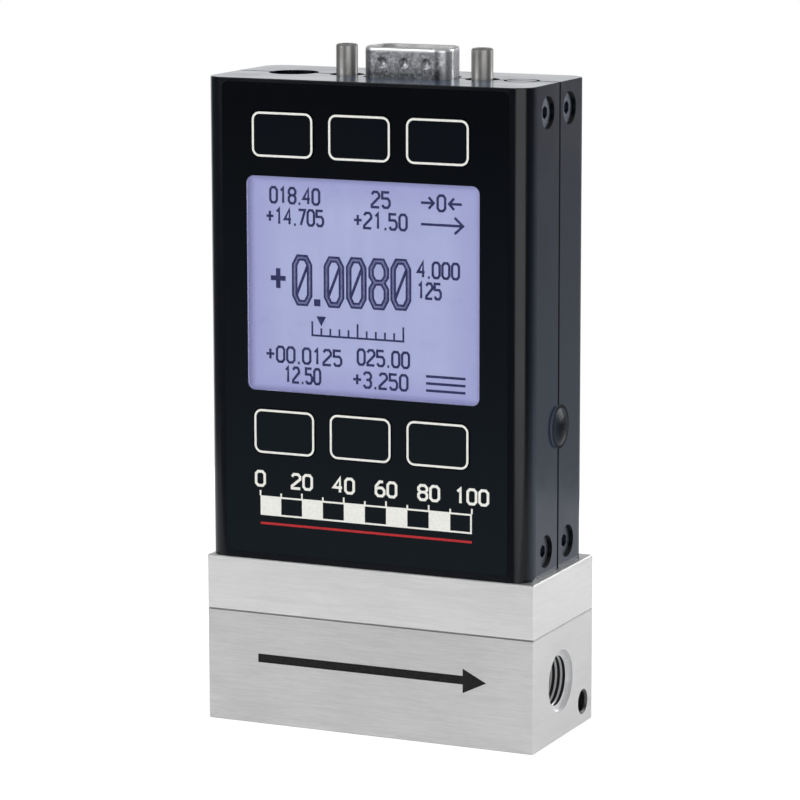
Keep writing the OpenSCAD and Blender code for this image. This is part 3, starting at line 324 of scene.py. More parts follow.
def pressed_nickel(name):
    """Plated sheet with a dented gloss on the wall, painted reflections mottling it, painted shade low on
    it, and a painted highlight on the corners and on the smooth rim.
    """
    finish = Finish(name, srgb(200, 201, 205), 0.2, metallic=0.75)
    top = SHELL_HIGH.z
    wall = finish.height(top - RIM_HIGHLIGHT_ENDS, top - RIM_HIGHLIGHT_FULL, 1.0, 0.0)
    dents = finish.noise((0.9, 0.9, 1.4))
    specks = finish.noise((2.1, 2.1, 2.1), 2.0, 0.6)
    # Painted reflections: pale and dark specks on the wall
    spotted = finish.spread(specks, 0.0, 1.0, 0.44, 0.6)
    upper = finish.blend(spotted, srgb(118, 120, 125), srgb(158, 159, 163))
    lower = finish.blend(spotted, srgb(52, 54, 58), srgb(90, 92, 96))
    # Painted shade low on the wall
    painted_mottle = finish.blend(finish.height(top - WALL_SHADE_FULL, top - WALL_SHADE_STARTS), lower, upper)
    # Painted highlight on the corners
    lit_corners = finish.blend(finish.facing("X"), painted_mottle, srgb(176, 177, 181))
    # Painted highlight on the rim
    finish.link(finish.blend(wall, srgb(226, 227, 230), lit_corners), "Base Color")
    finish.link(finish.spread(dents, 0.26, 0.4), "Roughness")
    finish.bump(finish.math("MULTIPLY", dents, wall), 0.012)
    finish.bump(finish.math("MULTIPLY", specks, wall), 0.004)
    return finish.material


def case_coat(name):
    """Gloss black coat, with a painted reflection that makes the case's sides blue-black, a faint painted
    highlight on top, and painted shade along the seam.
    """
    finish = Finish(name, srgb(3, 6, 12), 0.18, specular=0.3)
    patches = finish.patches()
    front = finish.blend(patches, srgb(3, 6, 12), srgb(6, 9, 15))
    # Painted reflection on the sides: blue-black, paler towards their foot
    side = finish.blend(finish.height(SIDE_REFLECTION_FULL_Z, SIDE_REFLECTION_FADED_Z), srgb(37, 44, 55), srgb(9, 12, 24))
    upright = finish.blend(finish.facing("X", 0.8, 0.98), front, side)
    # Faint painted highlight on the top faces
    lit_top_faces = finish.blend(finish.facing("Z"), upright, srgb(54, 53, 51))
    # Painted shade along both edges of the seam
    seam_shade = finish.near("Y", SEAM_Y, SEAM_SHADE_HALF_WIDTH)
    finish.link(finish.blend(seam_shade, lit_top_faces, srgb(2, 3, 6)), "Base Color")
    rough = finish.spread(patches, 0.22, 0.14, 0.0, 1.0)
    finish.link(finish.math("MAXIMUM", rough, seam_shade), "Roughness")
    finish.bump(finish.noise((5.0, 5.0, 5.0)), 0.002)
    finish.set("Sheen Weight", 0.06)
    finish.set("Sheen Roughness", 0.4)
    finish.set("Sheen Tint", (0.2, 0.48, 1.0, 1.0))
    return finish.material


def front_sheet(name, low, high, roughness):
    """Matt black sheet of the front, a little darker towards the top as its painted reflection fades."""
    finish = Finish(name, low, roughness, specular=0.02)
    # Painted reflection: paler low on the sheet
    finish.link(finish.blend(finish.height(FRONT_REFLECTION_FULL_Z, FRONT_REFLECTION_FADED_Z), low, high), "Base Color")
    smoother = finish.math("MULTIPLY", finish.patches(), 0.1)
    finish.link(finish.math("SUBTRACT", roughness + 0.05, smoother), "Roughness")
    finish.bump(finish.noise((8.0, 8.0, 8.0)), 0.002)
    return finish.material


def domed_plug(name):
    """Blue-black plug with a painted highlight round its rim."""
    finish = Finish(name, srgb(12, 16, 22), 0.25, specular=0.05)
    grain = finish.noise((3.0, 3.0, 3.0))
    centre = finish.facing("X", 0.7, 0.97)
    # Painted highlight, paler where the dome turns from its middle
    finish.link(finish.blend(centre, srgb(84, 91, 105), srgb(12, 17, 24)), "Base Color")
    finish.link(finish.spread(grain, 0.21, 0.29), "Roughness")
    finish.bump(grain, 0.002)
    return finish.material


def plastic(name, colour, roughness, grain=4.0, specular=0.5):
    """Moulded surface with a fine grain and slightly uneven gloss."""
    finish = Finish(name, colour, roughness, specular=specular)
    patches = finish.noise((0.12, 0.12, 0.12))
    face = finish.blend(finish.spread(patches, 0.0, 1.0), colour, scaled(colour, 1.25, 0.001))
    finish.link(face, "Base Color")
    finish.link(finish.spread(patches, roughness + 0.05, roughness - 0.05), "Roughness")
    finish.bump(finish.noise((grain, grain, grain)), 0.01)
    return finish.material


def circuit_board(name):
    """Green board with darker tracks under the lacquer."""
    finish = Finish(name, srgb(18, 82, 48), 0.35)
    tracks = finish.node("ShaderNodeTexVoronoi")
    tracks.distance = "MANHATTAN"
    tracks.inputs["Scale"].default_value = 1.0
    finish.tree.links.new(finish.grained((0.5, 0.5, 0.5)), tracks.inputs["Vector"])
    edge = finish.spread(tracks.outputs["Distance"], 0.0, 1.0, 0.3, 0.45)
    finish.link(finish.blend(edge, srgb(18, 82, 48), srgb(9, 55, 33)), "Base Color")
    finish.link(finish.spread(edge, 0.3, 0.45, 0.0, 1.0), "Roughness")
    finish.bump(edge, 0.02)
    return finish.material


def lit_display(name):
    """Backlit glass, cloudy in the middle and a little more violet towards its edges, with painted shade
    just inside the window's frame.
    """
    low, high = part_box("display_window")
    middle = (low + high) / 2
    half = (high - low) / 2
    finish = Finish(name, srgb(40, 42, 62), 0.3, specular=0.2)
    place = finish.place_parts()

    def from_middle(axis, centre, reach):
        """Distance from the window's middle, 1 at its edge."""
        away = finish.math("ABSOLUTE", finish.math("SUBTRACT", place[axis], centre))
        return finish.math("DIVIDE", away, reach)

    edge = finish.math("MAXIMUM", from_middle("X", middle.x, half.x), from_middle("Z", middle.z, half.z))
    rim = finish.spread(edge, 0.0, 1.0, 0.7, 1.0)
    # Painted shade just inside the window's frame
    border = finish.spread(edge, 0.0, 1.0, 0.95, 1.01)
    cloud = finish.spread(finish.noise((0.09, 0.09, 0.12)), 0.0, 0.6)
    bands = finish.spread(finish.noise((0.55, 0.55, 0.02)), 0.0, 0.4)
    calm = finish.blend(finish.math("ADD", cloud, bands), srgb(154, 160, 198), srgb(164, 170, 207))
    glow = finish.blend(rim, calm, srgb(146, 149, 194))
    shaded = finish.blend(border, glow, srgb(112, 114, 156))
    grid = finish.noise((3.0, 3.0, 3.0), 1.0)
    dotted = finish.blend(finish.spread(grid, 0.0, 0.06), shaded, srgb(120, 124, 170))
    finish.link(dotted, "Emission Color")
    finish.link(finish.spread(cloud, 0.26, 0.34, 0.0, 1.0), "Roughness")
    finish.set("Emission Strength", 1.0)
    finish.bump(grid, 0.002)
    return finish.material


def clear_sheet(name):
    """Thin clear window: lets the display through, with a faint gloss and haze."""
    finish = Finish(name, (1.0, 1.0, 1.0, 1.0), 0.05, specular=0.3)
    finish.set("Transmission Weight", 1.0)
    finish.set("IOR", 1.2)
    haze = finish.noise((0.5, 0.5, 0.5))
    finish.link(finish.spread(haze, 0.03, 0.09), "Roughness")
    finish.bump(haze, 0.0002)
    return finish.material


def printed_ink(name, colour, worn, specular=0.3, glow=0.0):
    """Ink with slightly uneven cover, which lights up by itself where glow is set."""
    finish = Finish(name, colour, 0.5, specular=specular)
    cover = finish.noise((2.5, 2.5, 2.5), 3.0)
    shade = finish.blend(finish.spread(cover, 0.0, 1.0, 0.35, 0.75), colour, worn)
    finish.link(shade, "Base Color")
    if glow:
        finish.link(shade, "Emission Color")
        finish.set("Emission Strength", glow)
    finish.link(finish.spread(cover, 0.44, 0.56), "Roughness")
    finish.bump(cover, 0.003)
    return finish.material


# Bores along x as (y, z, radius, reach from the middle, colour)
PORT_Y = -1.2
PORT_Z = 10.0
BORE_REACH = BODY_HIGH.x + 0.5
THREAD_REACH = BODY_HIGH.x - 0.95
PORT_MOUTH = (PORT_Y, PORT_Z, 5.45, BORE_REACH, srgb(226, 226, 228))
# Painted shade in the thread's grooves
PAINTED_GROOVE_SHADE = (PORT_Y, PORT_Z, 5.2, THREAD_REACH, srgb(62, 62, 64))
PORT_CRESTS = (PORT_Y, PORT_Z, 4.48, THREAD_REACH, srgb(226, 226, 228))
# Painted shade inside the small hole
PAINTED_HOLE_SHADE = (9.0, 4.0, 2.2, BORE_REACH, srgb(96, 96, 98))

STEEL_LOWER = brushed_steel("steel_lower", srgb(210, 210, 210), srgb(223, 223, 223), 0.42, 0.003,
                            (PORT_MOUTH, PAINTED_GROOVE_SHADE, PORT_CRESTS, PAINTED_HOLE_SHADE))
STEEL_UPPER = brushed_steel("steel_upper", srgb(229, 229, 229), srgb(237, 237, 237), 0.45, 0.0015)
STEEL_INNER = machined_metal("steel_inner", srgb(185, 185, 188), 0.35)
SCREW_STEEL = machined_metal("screw_steel", srgb(160, 160, 164), 0.3)
SCREW_BLACK = machined_metal("screw_black", srgb(88, 93, 104), 0.34, grain=4.0)
POST_STEEL = machined_metal("post_steel", srgb(154, 153, 152), 0.34, grain=5.0, metallic=0.6)
NICKEL = pressed_nickel("connector_nickel")
NICKEL_INSIDE = machined_metal("connector_inside", srgb(228, 228, 230), 0.6)
GOLD = machined_metal("pin_gold", srgb(214, 180, 96), 0.25)
BRASS = machined_metal("brass_spacer", srgb(190, 165, 95), 0.3)
BRACKET = machined_metal("bracket_aluminium", srgb(185, 186, 190), 0.45, grain=1.5, relief=0.01)
CASE_BLACK = case_coat("case_black")
TOP_PLUG_BLACK = case_coat("top_plug_black")
PLUG_BLACK = domed_plug("plug_black")
# Front sheets, from their painted reflection low down to their darker top
OVERLAY_BLACK = front_sheet("overlay_black", srgb(22, 27, 31), srgb(6, 8, 13), 0.36)
KEY_BLACK = front_sheet("key_black", srgb(22, 28, 32), srgb(10, 14, 20), 0.34)
DARK_PLASTIC = plastic("dark_plastic", srgb(22, 22, 24), 0.45, specular=0.3)
PALE_PLASTIC = plastic("pale_plastic", srgb(205, 203, 190), 0.5)
RUBBER = plastic("seal_rubber", srgb(20, 20, 20), 0.7, grain=6.0, specular=0.2)
BOARD = circuit_board("board_green")
LIT_DISPLAY = lit_display("display_lit")
CLEAR = clear_sheet("window_clear")
WHITE_INK = printed_ink("white_ink", srgb(230, 230, 224), srgb(216, 216, 210))
RED_INK = printed_ink("red_ink", srgb(186, 34, 40), srgb(150, 24, 30))
BLACK_INK = printed_ink("black_ink", srgb(20, 20, 20), srgb(34, 34, 33), specular=0.15)
DISPLAY_INK = printed_ink("display_ink", srgb(24, 27, 64), srgb(34, 37, 76), specular=0.1, glow=0.5)
PALE_DISPLAY_INK = printed_ink("pale_display_ink", srgb(66, 69, 100), srgb(96, 99, 134),
                               specular=0.1, glow=0.6)

NODE_MATERIALS = {
    "flow_body": STEEL_LOWER, "adapter_block": STEEL_UPPER, "flow_element": STEEL_INNER,
    "element_retainers": STEEL_INNER, "tap_seals": RUBBER, "block_screws": SCREW_STEEL,
    "differential_sensor": PALE_PLASTIC, "absolute_sensor": PALE_PLASTIC,
    "temperature_probe": STEEL_INNER, "sensor_seals": RUBBER, "sensor_board": BOARD,
    "sensor_header": DARK_PLASTIC, "left_case_mount": BRACKET, "right_case_mount": BRACKET,
    "mount_screws": SCREW_STEEL, "top_bracket": BRACKET, "front_shell": CASE_BLACK,
    "rear_shell": CASE_BLACK, "side_screws": SCREW_BLACK, "side_hole_plug": PLUG_BLACK,
    "top_hole_plug": TOP_PLUG_BLACK, "front_overlay": OVERLAY_BLACK, "display_window": CLEAR,
    "lcd_frame": STEEL_INNER, "lcd_glass": LIT_DISPLAY, "backlight": PALE_PLASTIC,
    "display_board": BOARD, "display_screws": SCREW_STEEL, "key_switches": DARK_PLASTIC,
    "board_spacers": BRASS, "main_board": BOARD, "board_screws": SCREW_STEEL,
    "main_board_parts": DARK_PLASTIC, "io_board": BOARD, "io_header": DARK_PLASTIC,
    "dsub_shell": NICKEL, "dsub_insert": DARK_PLASTIC, "dsub_pins": GOLD,
    "jackscrews": POST_STEEL, "jackscrew_nuts": SCREW_STEEL, "power_jack": DARK_PLASTIC,
    "power_jack_pin": NICKEL,
}
NODE_MATERIALS.update({key: KEY_BLACK for key in KEYS})


def dress_nodes():
    """Gives every carried-over node its material."""
    for name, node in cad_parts.items():
        node.data.materials.clear()
        node.data.materials.append(NODE_MATERIALS[name])


# Meshes

def add_piece(name, vertices, faces, material, body):
    """Mesh piece from points in millimetres."""
    mesh = bpy.data.meshes.new(name)
    mesh.from_pydata([Vector(v) * MM for v in vertices], [], faces)
    point_faces_outward(mesh)
    mesh.materials.append(material)
    piece = bpy.data.objects.new(name, mesh)
    bpy.context.scene.collection.objects.link(piece)
    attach(piece, body)
    return piece


def point_faces_outward(mesh):
    work = bmesh.new()
    work.from_mesh(mesh)
    bmesh.ops.recalc_face_normals(work, faces=work.faces)
    work.to_mesh(mesh)
    work.free()


INK_T = 0.02
# Strokes that cross stand further out by this share of the ink's thickness for each layer
LAYER_SHARE = 0.2
# The sharpest mitre reaches no further than a stroke's half width divided by this
MITRE_LIMIT = 0.5


class FlatInk:
    """Strokes and patches printed on an upright plane, gathered into one mesh."""

    def __init__(self, front_y):
        self.front_y = front_y
        self.vertices = []
        self.faces = []

    def depths(self, layer):
        """Front and back of a stroke."""
        return (self.front_y - INK_T * (1 + layer * LAYER_SHARE), self.front_y)

    def prism(self, outline, layer=0):
        """Closed prism over an outline of (x, z) points, anticlockwise as seen from the front."""
        start, count = len(self.vertices), len(outline)
        for y in self.depths(layer):
            self.vertices += [(x, y, z) for x, z in outline]
        self.faces.append([start + i for i in range(count)])
        self.faces.append([start + count + i for i in reversed(range(count))])
        for i in range(count):
            j = (i + 1) % count
            self.faces.append([start + j, start + i, start + count + i, start + count + j])

    def stroke(self, points, width, closed=False, layer=0):
        """Ribbon of that width along the points, with mitred corners."""
        left, right = offset_sides(points, width / 2, closed)
        if not closed:
            self.prism(right + left[::-1], layer)
            return
        start, count = len(self.vertices), len(points)
        for y in self.depths(layer):
            for side in (right, left):
                self.vertices += [(x, y, z) for x, z in side]
        outer, inner, outer_back, inner_back = (start + i * count for i in range(4))
        for i in range(count):
            j = (i + 1) % count
            self.faces.append([outer + i, outer + j, inner + j, inner + i])
            self.faces.append([outer_back + j, outer_back + i, inner_back + i, inner_back + j])
            self.faces.append([outer + j, outer + i, outer_back + i, outer_back + j])
            self.faces.append([inner + i, inner + j, inner_back + j, inner_back + i])

    def piece(self, name, material, body, slot):
        return add_piece(name, self.vertices, self.faces, material, body)


def offset_sides(points, reach, closed):
    """The two sides of a ribbon along (x, z) points."""
    count = len(points)
    left, right = [], []
    for i, (x, z) in enumerate(points):
        before = points[i - 1] if closed or i else None
        after = points[(i + 1) % count] if closed or i < count - 1 else None
        first = direction(before or (x, z), (x, z) if before else after)
        second = direction((x, z) if after else before, after or (x, z))
        normal = Vector((-first.y - second.y, first.x + second.x)).normalized()
        stretch = reach / max(MITRE_LIMIT, normal.dot(Vector((-first.y, first.x))))
        left.append((x + normal.x * stretch, z + normal.y * stretch))
        right.append((x - normal.x * stretch, z - normal.y * stretch))
    return left, right


def direction(start, stop):
    return (Vector(stop) - Vector(start)).normalized()


CORNER_STEPS = 8


def rounded_outline(x, z, width, height, radius):
    """Anticlockwise outline of a rounded rectangle."""
    points = []
    for turn, (sx, sz) in enumerate(((1, 1), (-1, 1), (-1, -1), (1, -1))):
        cx = x + sx * (width / 2 - radius)
        cz = z + sz * (height / 2 - radius)
        for step in range(CORNER_STEPS + 1):
            angle = math.pi / 2 * (turn + step / CORNER_STEPS)
            points.append((cx + radius * math.cos(angle), cz + radius * math.sin(angle)))
    return points


# Figures

# Each figure is a list of strokes on a grid; a stroke that ends where it starts is closed
GRID_W = 4
GRID_H = 6
FIGURES = {
    "0": [[(1, 0), (3, 0), (4, 1), (4, 5), (3, 6), (1, 6), (0, 5), (0, 1), (1, 0)]],
    "1": [[(0.8, 4.8), (2.2, 6), (2.2, 0)]],
    "2": [[(0, 5), (1, 6), (3, 6), (4, 5), (4, 4), (0, 0.9), (0, 0), (4, 0)]],
    "3": [[(0, 5), (1, 6), (3, 6), (4, 5), (4, 4), (3, 3.1), (4, 2.2), (4, 1), (3, 0), (1, 0), (0, 1)],
          [(1.4, 3.1), (3, 3.1)]],
    "4": [[(3, 0), (3, 6), (0, 2), (2.2, 2)], [(2.2, 2), (4, 2)]],
    "5": [[(3.8, 6), (0, 6), (0, 3.6), (3, 3.6), (4, 2.6), (4, 1), (3, 0), (1, 0), (0, 1)]],
    "6": [[(3.4, 6), (1.8, 6), (0, 4), (0, 1), (1, 0), (3, 0), (4, 1), (4, 2.4), (3, 3.4), (1, 3.4)],
          [(1, 3.4), (0, 2.6)]],
    "7": [[(0, 6), (4, 6), (1.4, 0)]],
    "8": [[(1, 3.2), (3, 3.2), (4, 4), (4, 5), (3, 6), (1, 6), (0, 5), (0, 4), (1, 3.2)],
          [(1, 3.2), (0, 2.3), (0, 1), (1, 0), (3, 0), (4, 1), (4, 2.3), (3, 3.2)]],
    "9": [[(0.6, 0), (2.2, 0), (4, 2), (4, 5), (3, 6), (1, 6), (0, 5), (0, 3.6), (1, 2.6), (3, 2.6)],
          [(3, 2.6), (4, 3.4)]],
    "+": [[(-0.2, 3), (4.2, 3)], [(2, 1.0), (2, 5.0)]],
    ".": [[(1.5, 0), (2.6, 0)]],
}
# A point's share of a figure's place, and the gap's share of a place
POINT_ADVANCE = 0.55
FIGURE_GAP = 0.29


def write_figures(ink, text, x, z, width, height, advance, stroke):
    """Writes figures from x on; z is the bottom of the row."""
    for figure in text:
        share = POINT_ADVANCE if figure == "." else 1
        left = x - (1 - share) / 2 * advance
        for layer, line in enumerate(FIGURES[figure]):
            points = [(left + px / GRID_W * width, z + stroke / 2 + pz / GRID_H * (height - stroke))
                      for px, pz in line]
            closed = points[0] == points[-1]
            ink.stroke(points[:-1] if closed else points, stroke, closed, layer)
        x += advance * share


def fit_figures(ink, text, left, right, z, height, stroke):
    """Writes figures that fill the width from left to right."""
    places = sum(POINT_ADVANCE if figure == "." else 1 for figure in text)
    gap = FIGURE_GAP / (1 - FIGURE_GAP)
    width = (right - left - stroke) / (places + (places - 1) * gap)
    write_figures(ink, text, left + stroke / 2, z, width, height, width * (1 + gap), stroke)


# Display

ROW_H = 3.0
ROW_STROKE = 0.44
# Small readings as (text, left, right, bottom)
SMALL_ROWS = (
    ("018.40", -18.6, -9.0, 90.55), ("+14.705", -19.3, -8.3, 86.95), ("25", 0.3, 4.0, 90.65),
    ("+21.50", -2.95, 7.1, 87.05), ("4.000", 8.7, 16.6, 79.35), ("125", 8.7, 13.3, 75.8),
    ("+00.0125", -19.5, -5.05, 63.35), ("025.00", -2.4, 7.5, 63.85), ("12.50", -16.1, -9.0, 59.95),
    ("+3.250", -3.2, 7.2, 60.0),
)
# Main reading: its figures as (figure, left, bottom), their strokes with a pale core, and the zeros' slash
BIG_W = 2.8
BIG_H = 8.75
BIG_STROKE = 1.05
BIG_CORE = 0.3
BIG_FIGURES = (
    ("0", -13.9, 73.4), ("0", -7.95, 73.4), ("0", -3.8, 73.5), ("8", 0.35, 73.55), ("0", 4.4, 73.7),
)
SLASH_STROKE = 0.5
SLASH_INSET = 0.3
SLASH_LOW = 1.7
SLASH_HIGH = 7.1
# The main reading's sign and its point
PLUS_X = -17.0
PLUS_Z = 77.9
PLUS_HALF_W = 1.4
PLUS_HALF_H = 1.7
PLUS_STROKE = 0.85
POINT_X = -9.7
POINT_Z = 74.1
POINT_SIDE = 1.2


def display_figures():
    """The readings, signs and scale on the display."""
    ink = FlatInk(GLASS_FRONT_Y)
    for text, left, right, z in SMALL_ROWS:
        fit_figures(ink, text, left, right, z, ROW_H, ROW_STROKE)
    key_signs(ink)
    display_scale(ink)
    main_reading(ink)
    ink.piece("display_figures", DISPLAY_INK, "root", "display_lit")
    core = FlatInk(GLASS_FRONT_Y - INK_T)
    inset = (BIG_STROKE - BIG_CORE) / 2
    for figure, x, z in BIG_FIGURES:
        write_figures(core, figure, x, z + inset, BIG_W, BIG_H - 2 * inset, BIG_W, BIG_CORE)
    core.piece("display_figure_cores", PALE_DISPLAY_INK, "root", "display_lit")


def main_reading(ink):
    """Sign, point and figures of the large reading, with a slash through every zero."""
    ink.stroke([(PLUS_X - PLUS_HALF_W, PLUS_Z), (PLUS_X + PLUS_HALF_W, PLUS_Z)], PLUS_STROKE)
    ink.stroke([(PLUS_X, PLUS_Z - PLUS_HALF_H), (PLUS_X, PLUS_Z + PLUS_HALF_H)], PLUS_STROKE, layer=1)
    ink.stroke([(POINT_X - POINT_SIDE / 2, POINT_Z), (POINT_X + POINT_SIDE / 2, POINT_Z)], POINT_SIDE)
    for figure, x, z in BIG_FIGURES:
        write_figures(ink, figure, x, z, BIG_W, BIG_H, BIG_W, BIG_STROKE)
        if figure == "0":
            slash = [(x + SLASH_INSET, z + SLASH_LOW), (x + BIG_W - SLASH_INSET, z + SLASH_HIGH)]
            ink.stroke(slash, SLASH_STROKE, layer=2)


def arrow(ink, tail, tip, z, head, spread, short=0.0):
    """Arrow along x: head is its length, spread is its half width, and the line ends short of the tip."""
    back = tip - head if tip > tail else tip + head
    ink.stroke([(tail, z), (tip - short, z)], ROW_STROKE)
    ink.stroke([(back, z + spread), (tip, z), (back, z - spread)], ROW_STROKE, layer=1)


def key_signs(ink):
    """Signs beside the keys: a zero between two arrows, an arrow, and three bars."""
    left, right = 9.5, 16.9
    upper_z, lower_z = 92.05, 88.45
    zero_left, zero_right, zero_z = 12.3, 14.1, 90.6
    bars_left, bars_right, bars_z = 10.4, 17.6, (60.5, 61.7, 62.9)
    fit_figures(ink, "0", zero_left, zero_right, zero_z, ROW_H, ROW_STROKE)
    arrow(ink, left, 11.8, upper_z, head=0.9, spread=0.95)
    arrow(ink, right, 14.6, upper_z, head=0.9, spread=0.95)
    arrow(ink, left, 17.1, lower_z, head=1.5, spread=1.35, short=0.2)
    for z in bars_z:
        ink.stroke([(bars_left, z), (bars_right, z)], ROW_STROKE)


def display_scale(ink):
    """Small scale under the main reading, with a pointer."""
    base, first, step, count, line = 68.5, -10.65, 1.69, 10, 0.34
    long_top, short_top = 70.9, 69.8
    pointer_low, pointer_high, pointer_half = 70.1, 71.8, 0.9
    ink.stroke([(first - line / 2, base), (first + count * step + line / 2, base)], line)
    for tick in range(count + 1):
        x = first + tick * step
        ink.stroke([(x, base + line / 2), (x, long_top if tick % 5 == 0 else short_top)], line)
    x = first + step
    ink.prism([(x, pointer_low), (x + pointer_half, pointer_high), (x - pointer_half, pointer_high)])


# Prints on the case and the body

KEY_W = 11.3
KEY_H = 7.6
KEY_R = 1.4
LINE_W = 0.37


def key_outlines():
    """Pale line round the face of every key."""
    for name in KEYS:
        low, high = box_mm(name)
        x, z = (low.x + high.x) / 2, (low.z + high.z) / 2
        outline = rounded_outline(x, z, KEY_W - LINE_W, KEY_H - LINE_W, KEY_R - LINE_W / 2)
        ink = FlatInk(KEY_FRONT_Y)
        ink.stroke(outline, LINE_W, closed=True)
        ink.piece("outline_" + name, WHITE_INK, name, "key_black")


def front_scale():
    """Printed scale on the front: figures, blocks and a red line."""
    ink = FlatInk(OVERLAY_FRONT_Y)
    left, step, count = -20.2, 3.94, 10
    right = left + count * step
    low, high, line = 36.9, 40.3, 0.3
    long_top, short_top = 41.2, 40.9
    label_z, label_h, label_stroke, figure_half = 41.8, 2.9, 0.46, 1.05
    red_z, red_line = 35.5, 0.4
    for tick in range(0, count + 1, 2):
        label = str(tick * 10)
        half = figure_half * len(label)
        middle = left + tick * step
        fit_figures(ink, label, middle - half, middle + half, label_z, label_h, label_stroke)
    for tick in range(count + 1):
        x = left + tick * step
        ink.stroke([(x, high), (x, long_top if tick % 2 == 0 else short_top)], line)
    for block in range(count):
        x = left + block * step
        if block % 2 == 0:
            ink.prism([(x, low), (x + step, low), (x + step, high), (x, high)])
            continue
        for z in (low + line / 2, high - line / 2):
            ink.stroke([(x, z), (x + step, z)], line)
    ink.stroke([(right - line / 2, low + line), (right - line / 2, high - line)], line)
    ink.piece("front_scale", WHITE_INK, "root", "overlay_black")
    red = FlatInk(OVERLAY_FRONT_Y)
    red.stroke([(left, red_z), (right, red_z)], red_line)
    red.piece("front_scale_line", RED_INK, "root", "overlay_black")


def flow_arrow():
    """Printed arrow that shows the flow direction."""
    tail, neck, tip = -20.85, 17.6, 21.9
    head_low, shaft_low, tip_z, shaft_high, head_high = 9.4, 10.9, 11.5, 12.4, 13.65
    ink = FlatInk(BODY_LOW.y)
    ink.prism([
        (tail, shaft_low), (neck, shaft_low), (neck, head_low), (tip, tip_z), (neck, head_high),
        (neck, shaft_high), (tail, shaft_high),
    ])
    ink.piece("flow_arrow", BLACK_INK, "root", "steel_lower")


# Data connector

# Plate thickness, and the mating shell's outline at its foot
SHEET = 0.5
DSUB_W = 16.9
DSUB_D = 8.4
DSUB_R = 2.5
DSUB_LEAN = math.radians(10)
DSUB_X = (SHELL_LOW.x + SHELL_HIGH.x) / 2
DSUB_Y = (SHELL_LOW.y + SHELL_HIGH.y) / 2
DSUB_LOW = SHELL_LOW.z + SHEET
DSUB_TOP = SHELL_HIGH.z
# Distance between the points round the outline
POINT_SPACING = 0.12

# Radius and arc steps of the foot and of the rim, and the rows of the walls
FOOT_R = 0.5
FOOT_STEPS = 6
RIM_R = 0.42
RIM_STEPS = 8
WALL_ROWS = 40
INNER_ROWS = 8

# Dimples as (place along x, -1 for the front wall or 1 for the rear one)
DIMPLES = ((-4.0, -1), (0.0, -1), (4.0, -1), (-2.0, 1), (2.0, 1))
DIMPLE_Z = DSUB_TOP - 2.6
DIMPLE_R = 0.85
DIMPLE_DEEP = 0.24
# A wall is straight where its outward direction has at least this share of y
STRAIGHT = 0.999

FLANGE_W = SHELL_HIGH.x - SHELL_LOW.x
FLANGE_D = SHELL_HIGH.y - SHELL_LOW.y
FLANGE_R = 1.5
POST_SPACING = 24.99
POST_HOLE_R = 1.4
POST_HOLE_POINTS = 32
SHARP_ANGLE = math.radians(40)


def dsub_points():
    """Points and outward normals round the connector's outline, anticlockwise from above."""
    front = DSUB_W / 2
    rear = DSUB_W / 2 - DSUB_D * math.tan(DSUB_LEAN)
    corners = [Vector((-front, -DSUB_D / 2)), Vector((front, -DSUB_D / 2)),
               Vector((rear, DSUB_D / 2)), Vector((-rear, DSUB_D / 2))]
    ring = []
    for i, corner in enumerate(corners):
        before, after = corners[i - 1], corners[(i + 1) % 4]
        enter, leave = (corner - before).normalized(), (after - corner).normalized()
        turn = enter.angle(leave)
        centre = corner + (leave - enter).normalized() * DSUB_R / math.cos(turn / 2)
        start = math.atan2(-enter.x, enter.y)
        steps = max(4, round(turn * DSUB_R / POINT_SPACING))
        for step in range(steps + 1):
            angle = start + turn * step / steps
            normal = Vector((math.cos(angle), math.sin(angle)))
            ring.append((centre + normal * DSUB_R, normal))
    return fill_straights(ring)


def fill_straights(ring):
    """Adds points on the long straight runs."""
    filled = []
    for (point, normal), (after, after_normal) in zip(ring, ring[1:] + ring[:1]):
        filled.append((point, normal))
        gaps = int((after - point).length / POINT_SPACING)
        for step in range(1, gaps):
            share = step / gaps
            filled.append((point.lerp(after, share), normal.lerp(after_normal, share).normalized()))
    return filled


def shell_profile():
    """(outward offset, height) points from the flange up the outside, over the rim and down inside."""
    points = []
    for step in range(FOOT_STEPS + 1):
        angle = math.pi / 2 * step / FOOT_STEPS
        points.append((FOOT_R * (1 - math.sin(angle)), DSUB_LOW + FOOT_R * (1 - math.cos(angle))))
    wall_low, wall_top = DSUB_LOW + FOOT_R, DSUB_TOP - RIM_R
    for row in range(1, WALL_ROWS):
        points.append((0.0, wall_low + (wall_top - wall_low) * row / WALL_ROWS))
    for step in range(RIM_STEPS + 1):
        angle = math.pi / 2 * step / RIM_STEPS
        points.append((-RIM_R * (1 - math.cos(angle)), wall_top + RIM_R * math.sin(angle)))
    inner_top, inner_low = DSUB_TOP - (SHEET - RIM_R), DSUB_LOW - SHEET
    for row in range(INNER_ROWS + 1):
        points.append((-SHEET, inner_top - (inner_top - inner_low) * row / INNER_ROWS))
    return points


def dimple_depth(x, z, side):
    """How far the outer wall is pressed in at a place on its front (-1) or rear (1)."""
    deep = 0.0
    for place, wall in DIMPLES:
        away = math.hypot(x - place, z - DIMPLE_Z) / DIMPLE_R
        if wall == side and away < 1:
            deep = max(deep, DIMPLE_DEEP * (1 - away * away))
    return deep


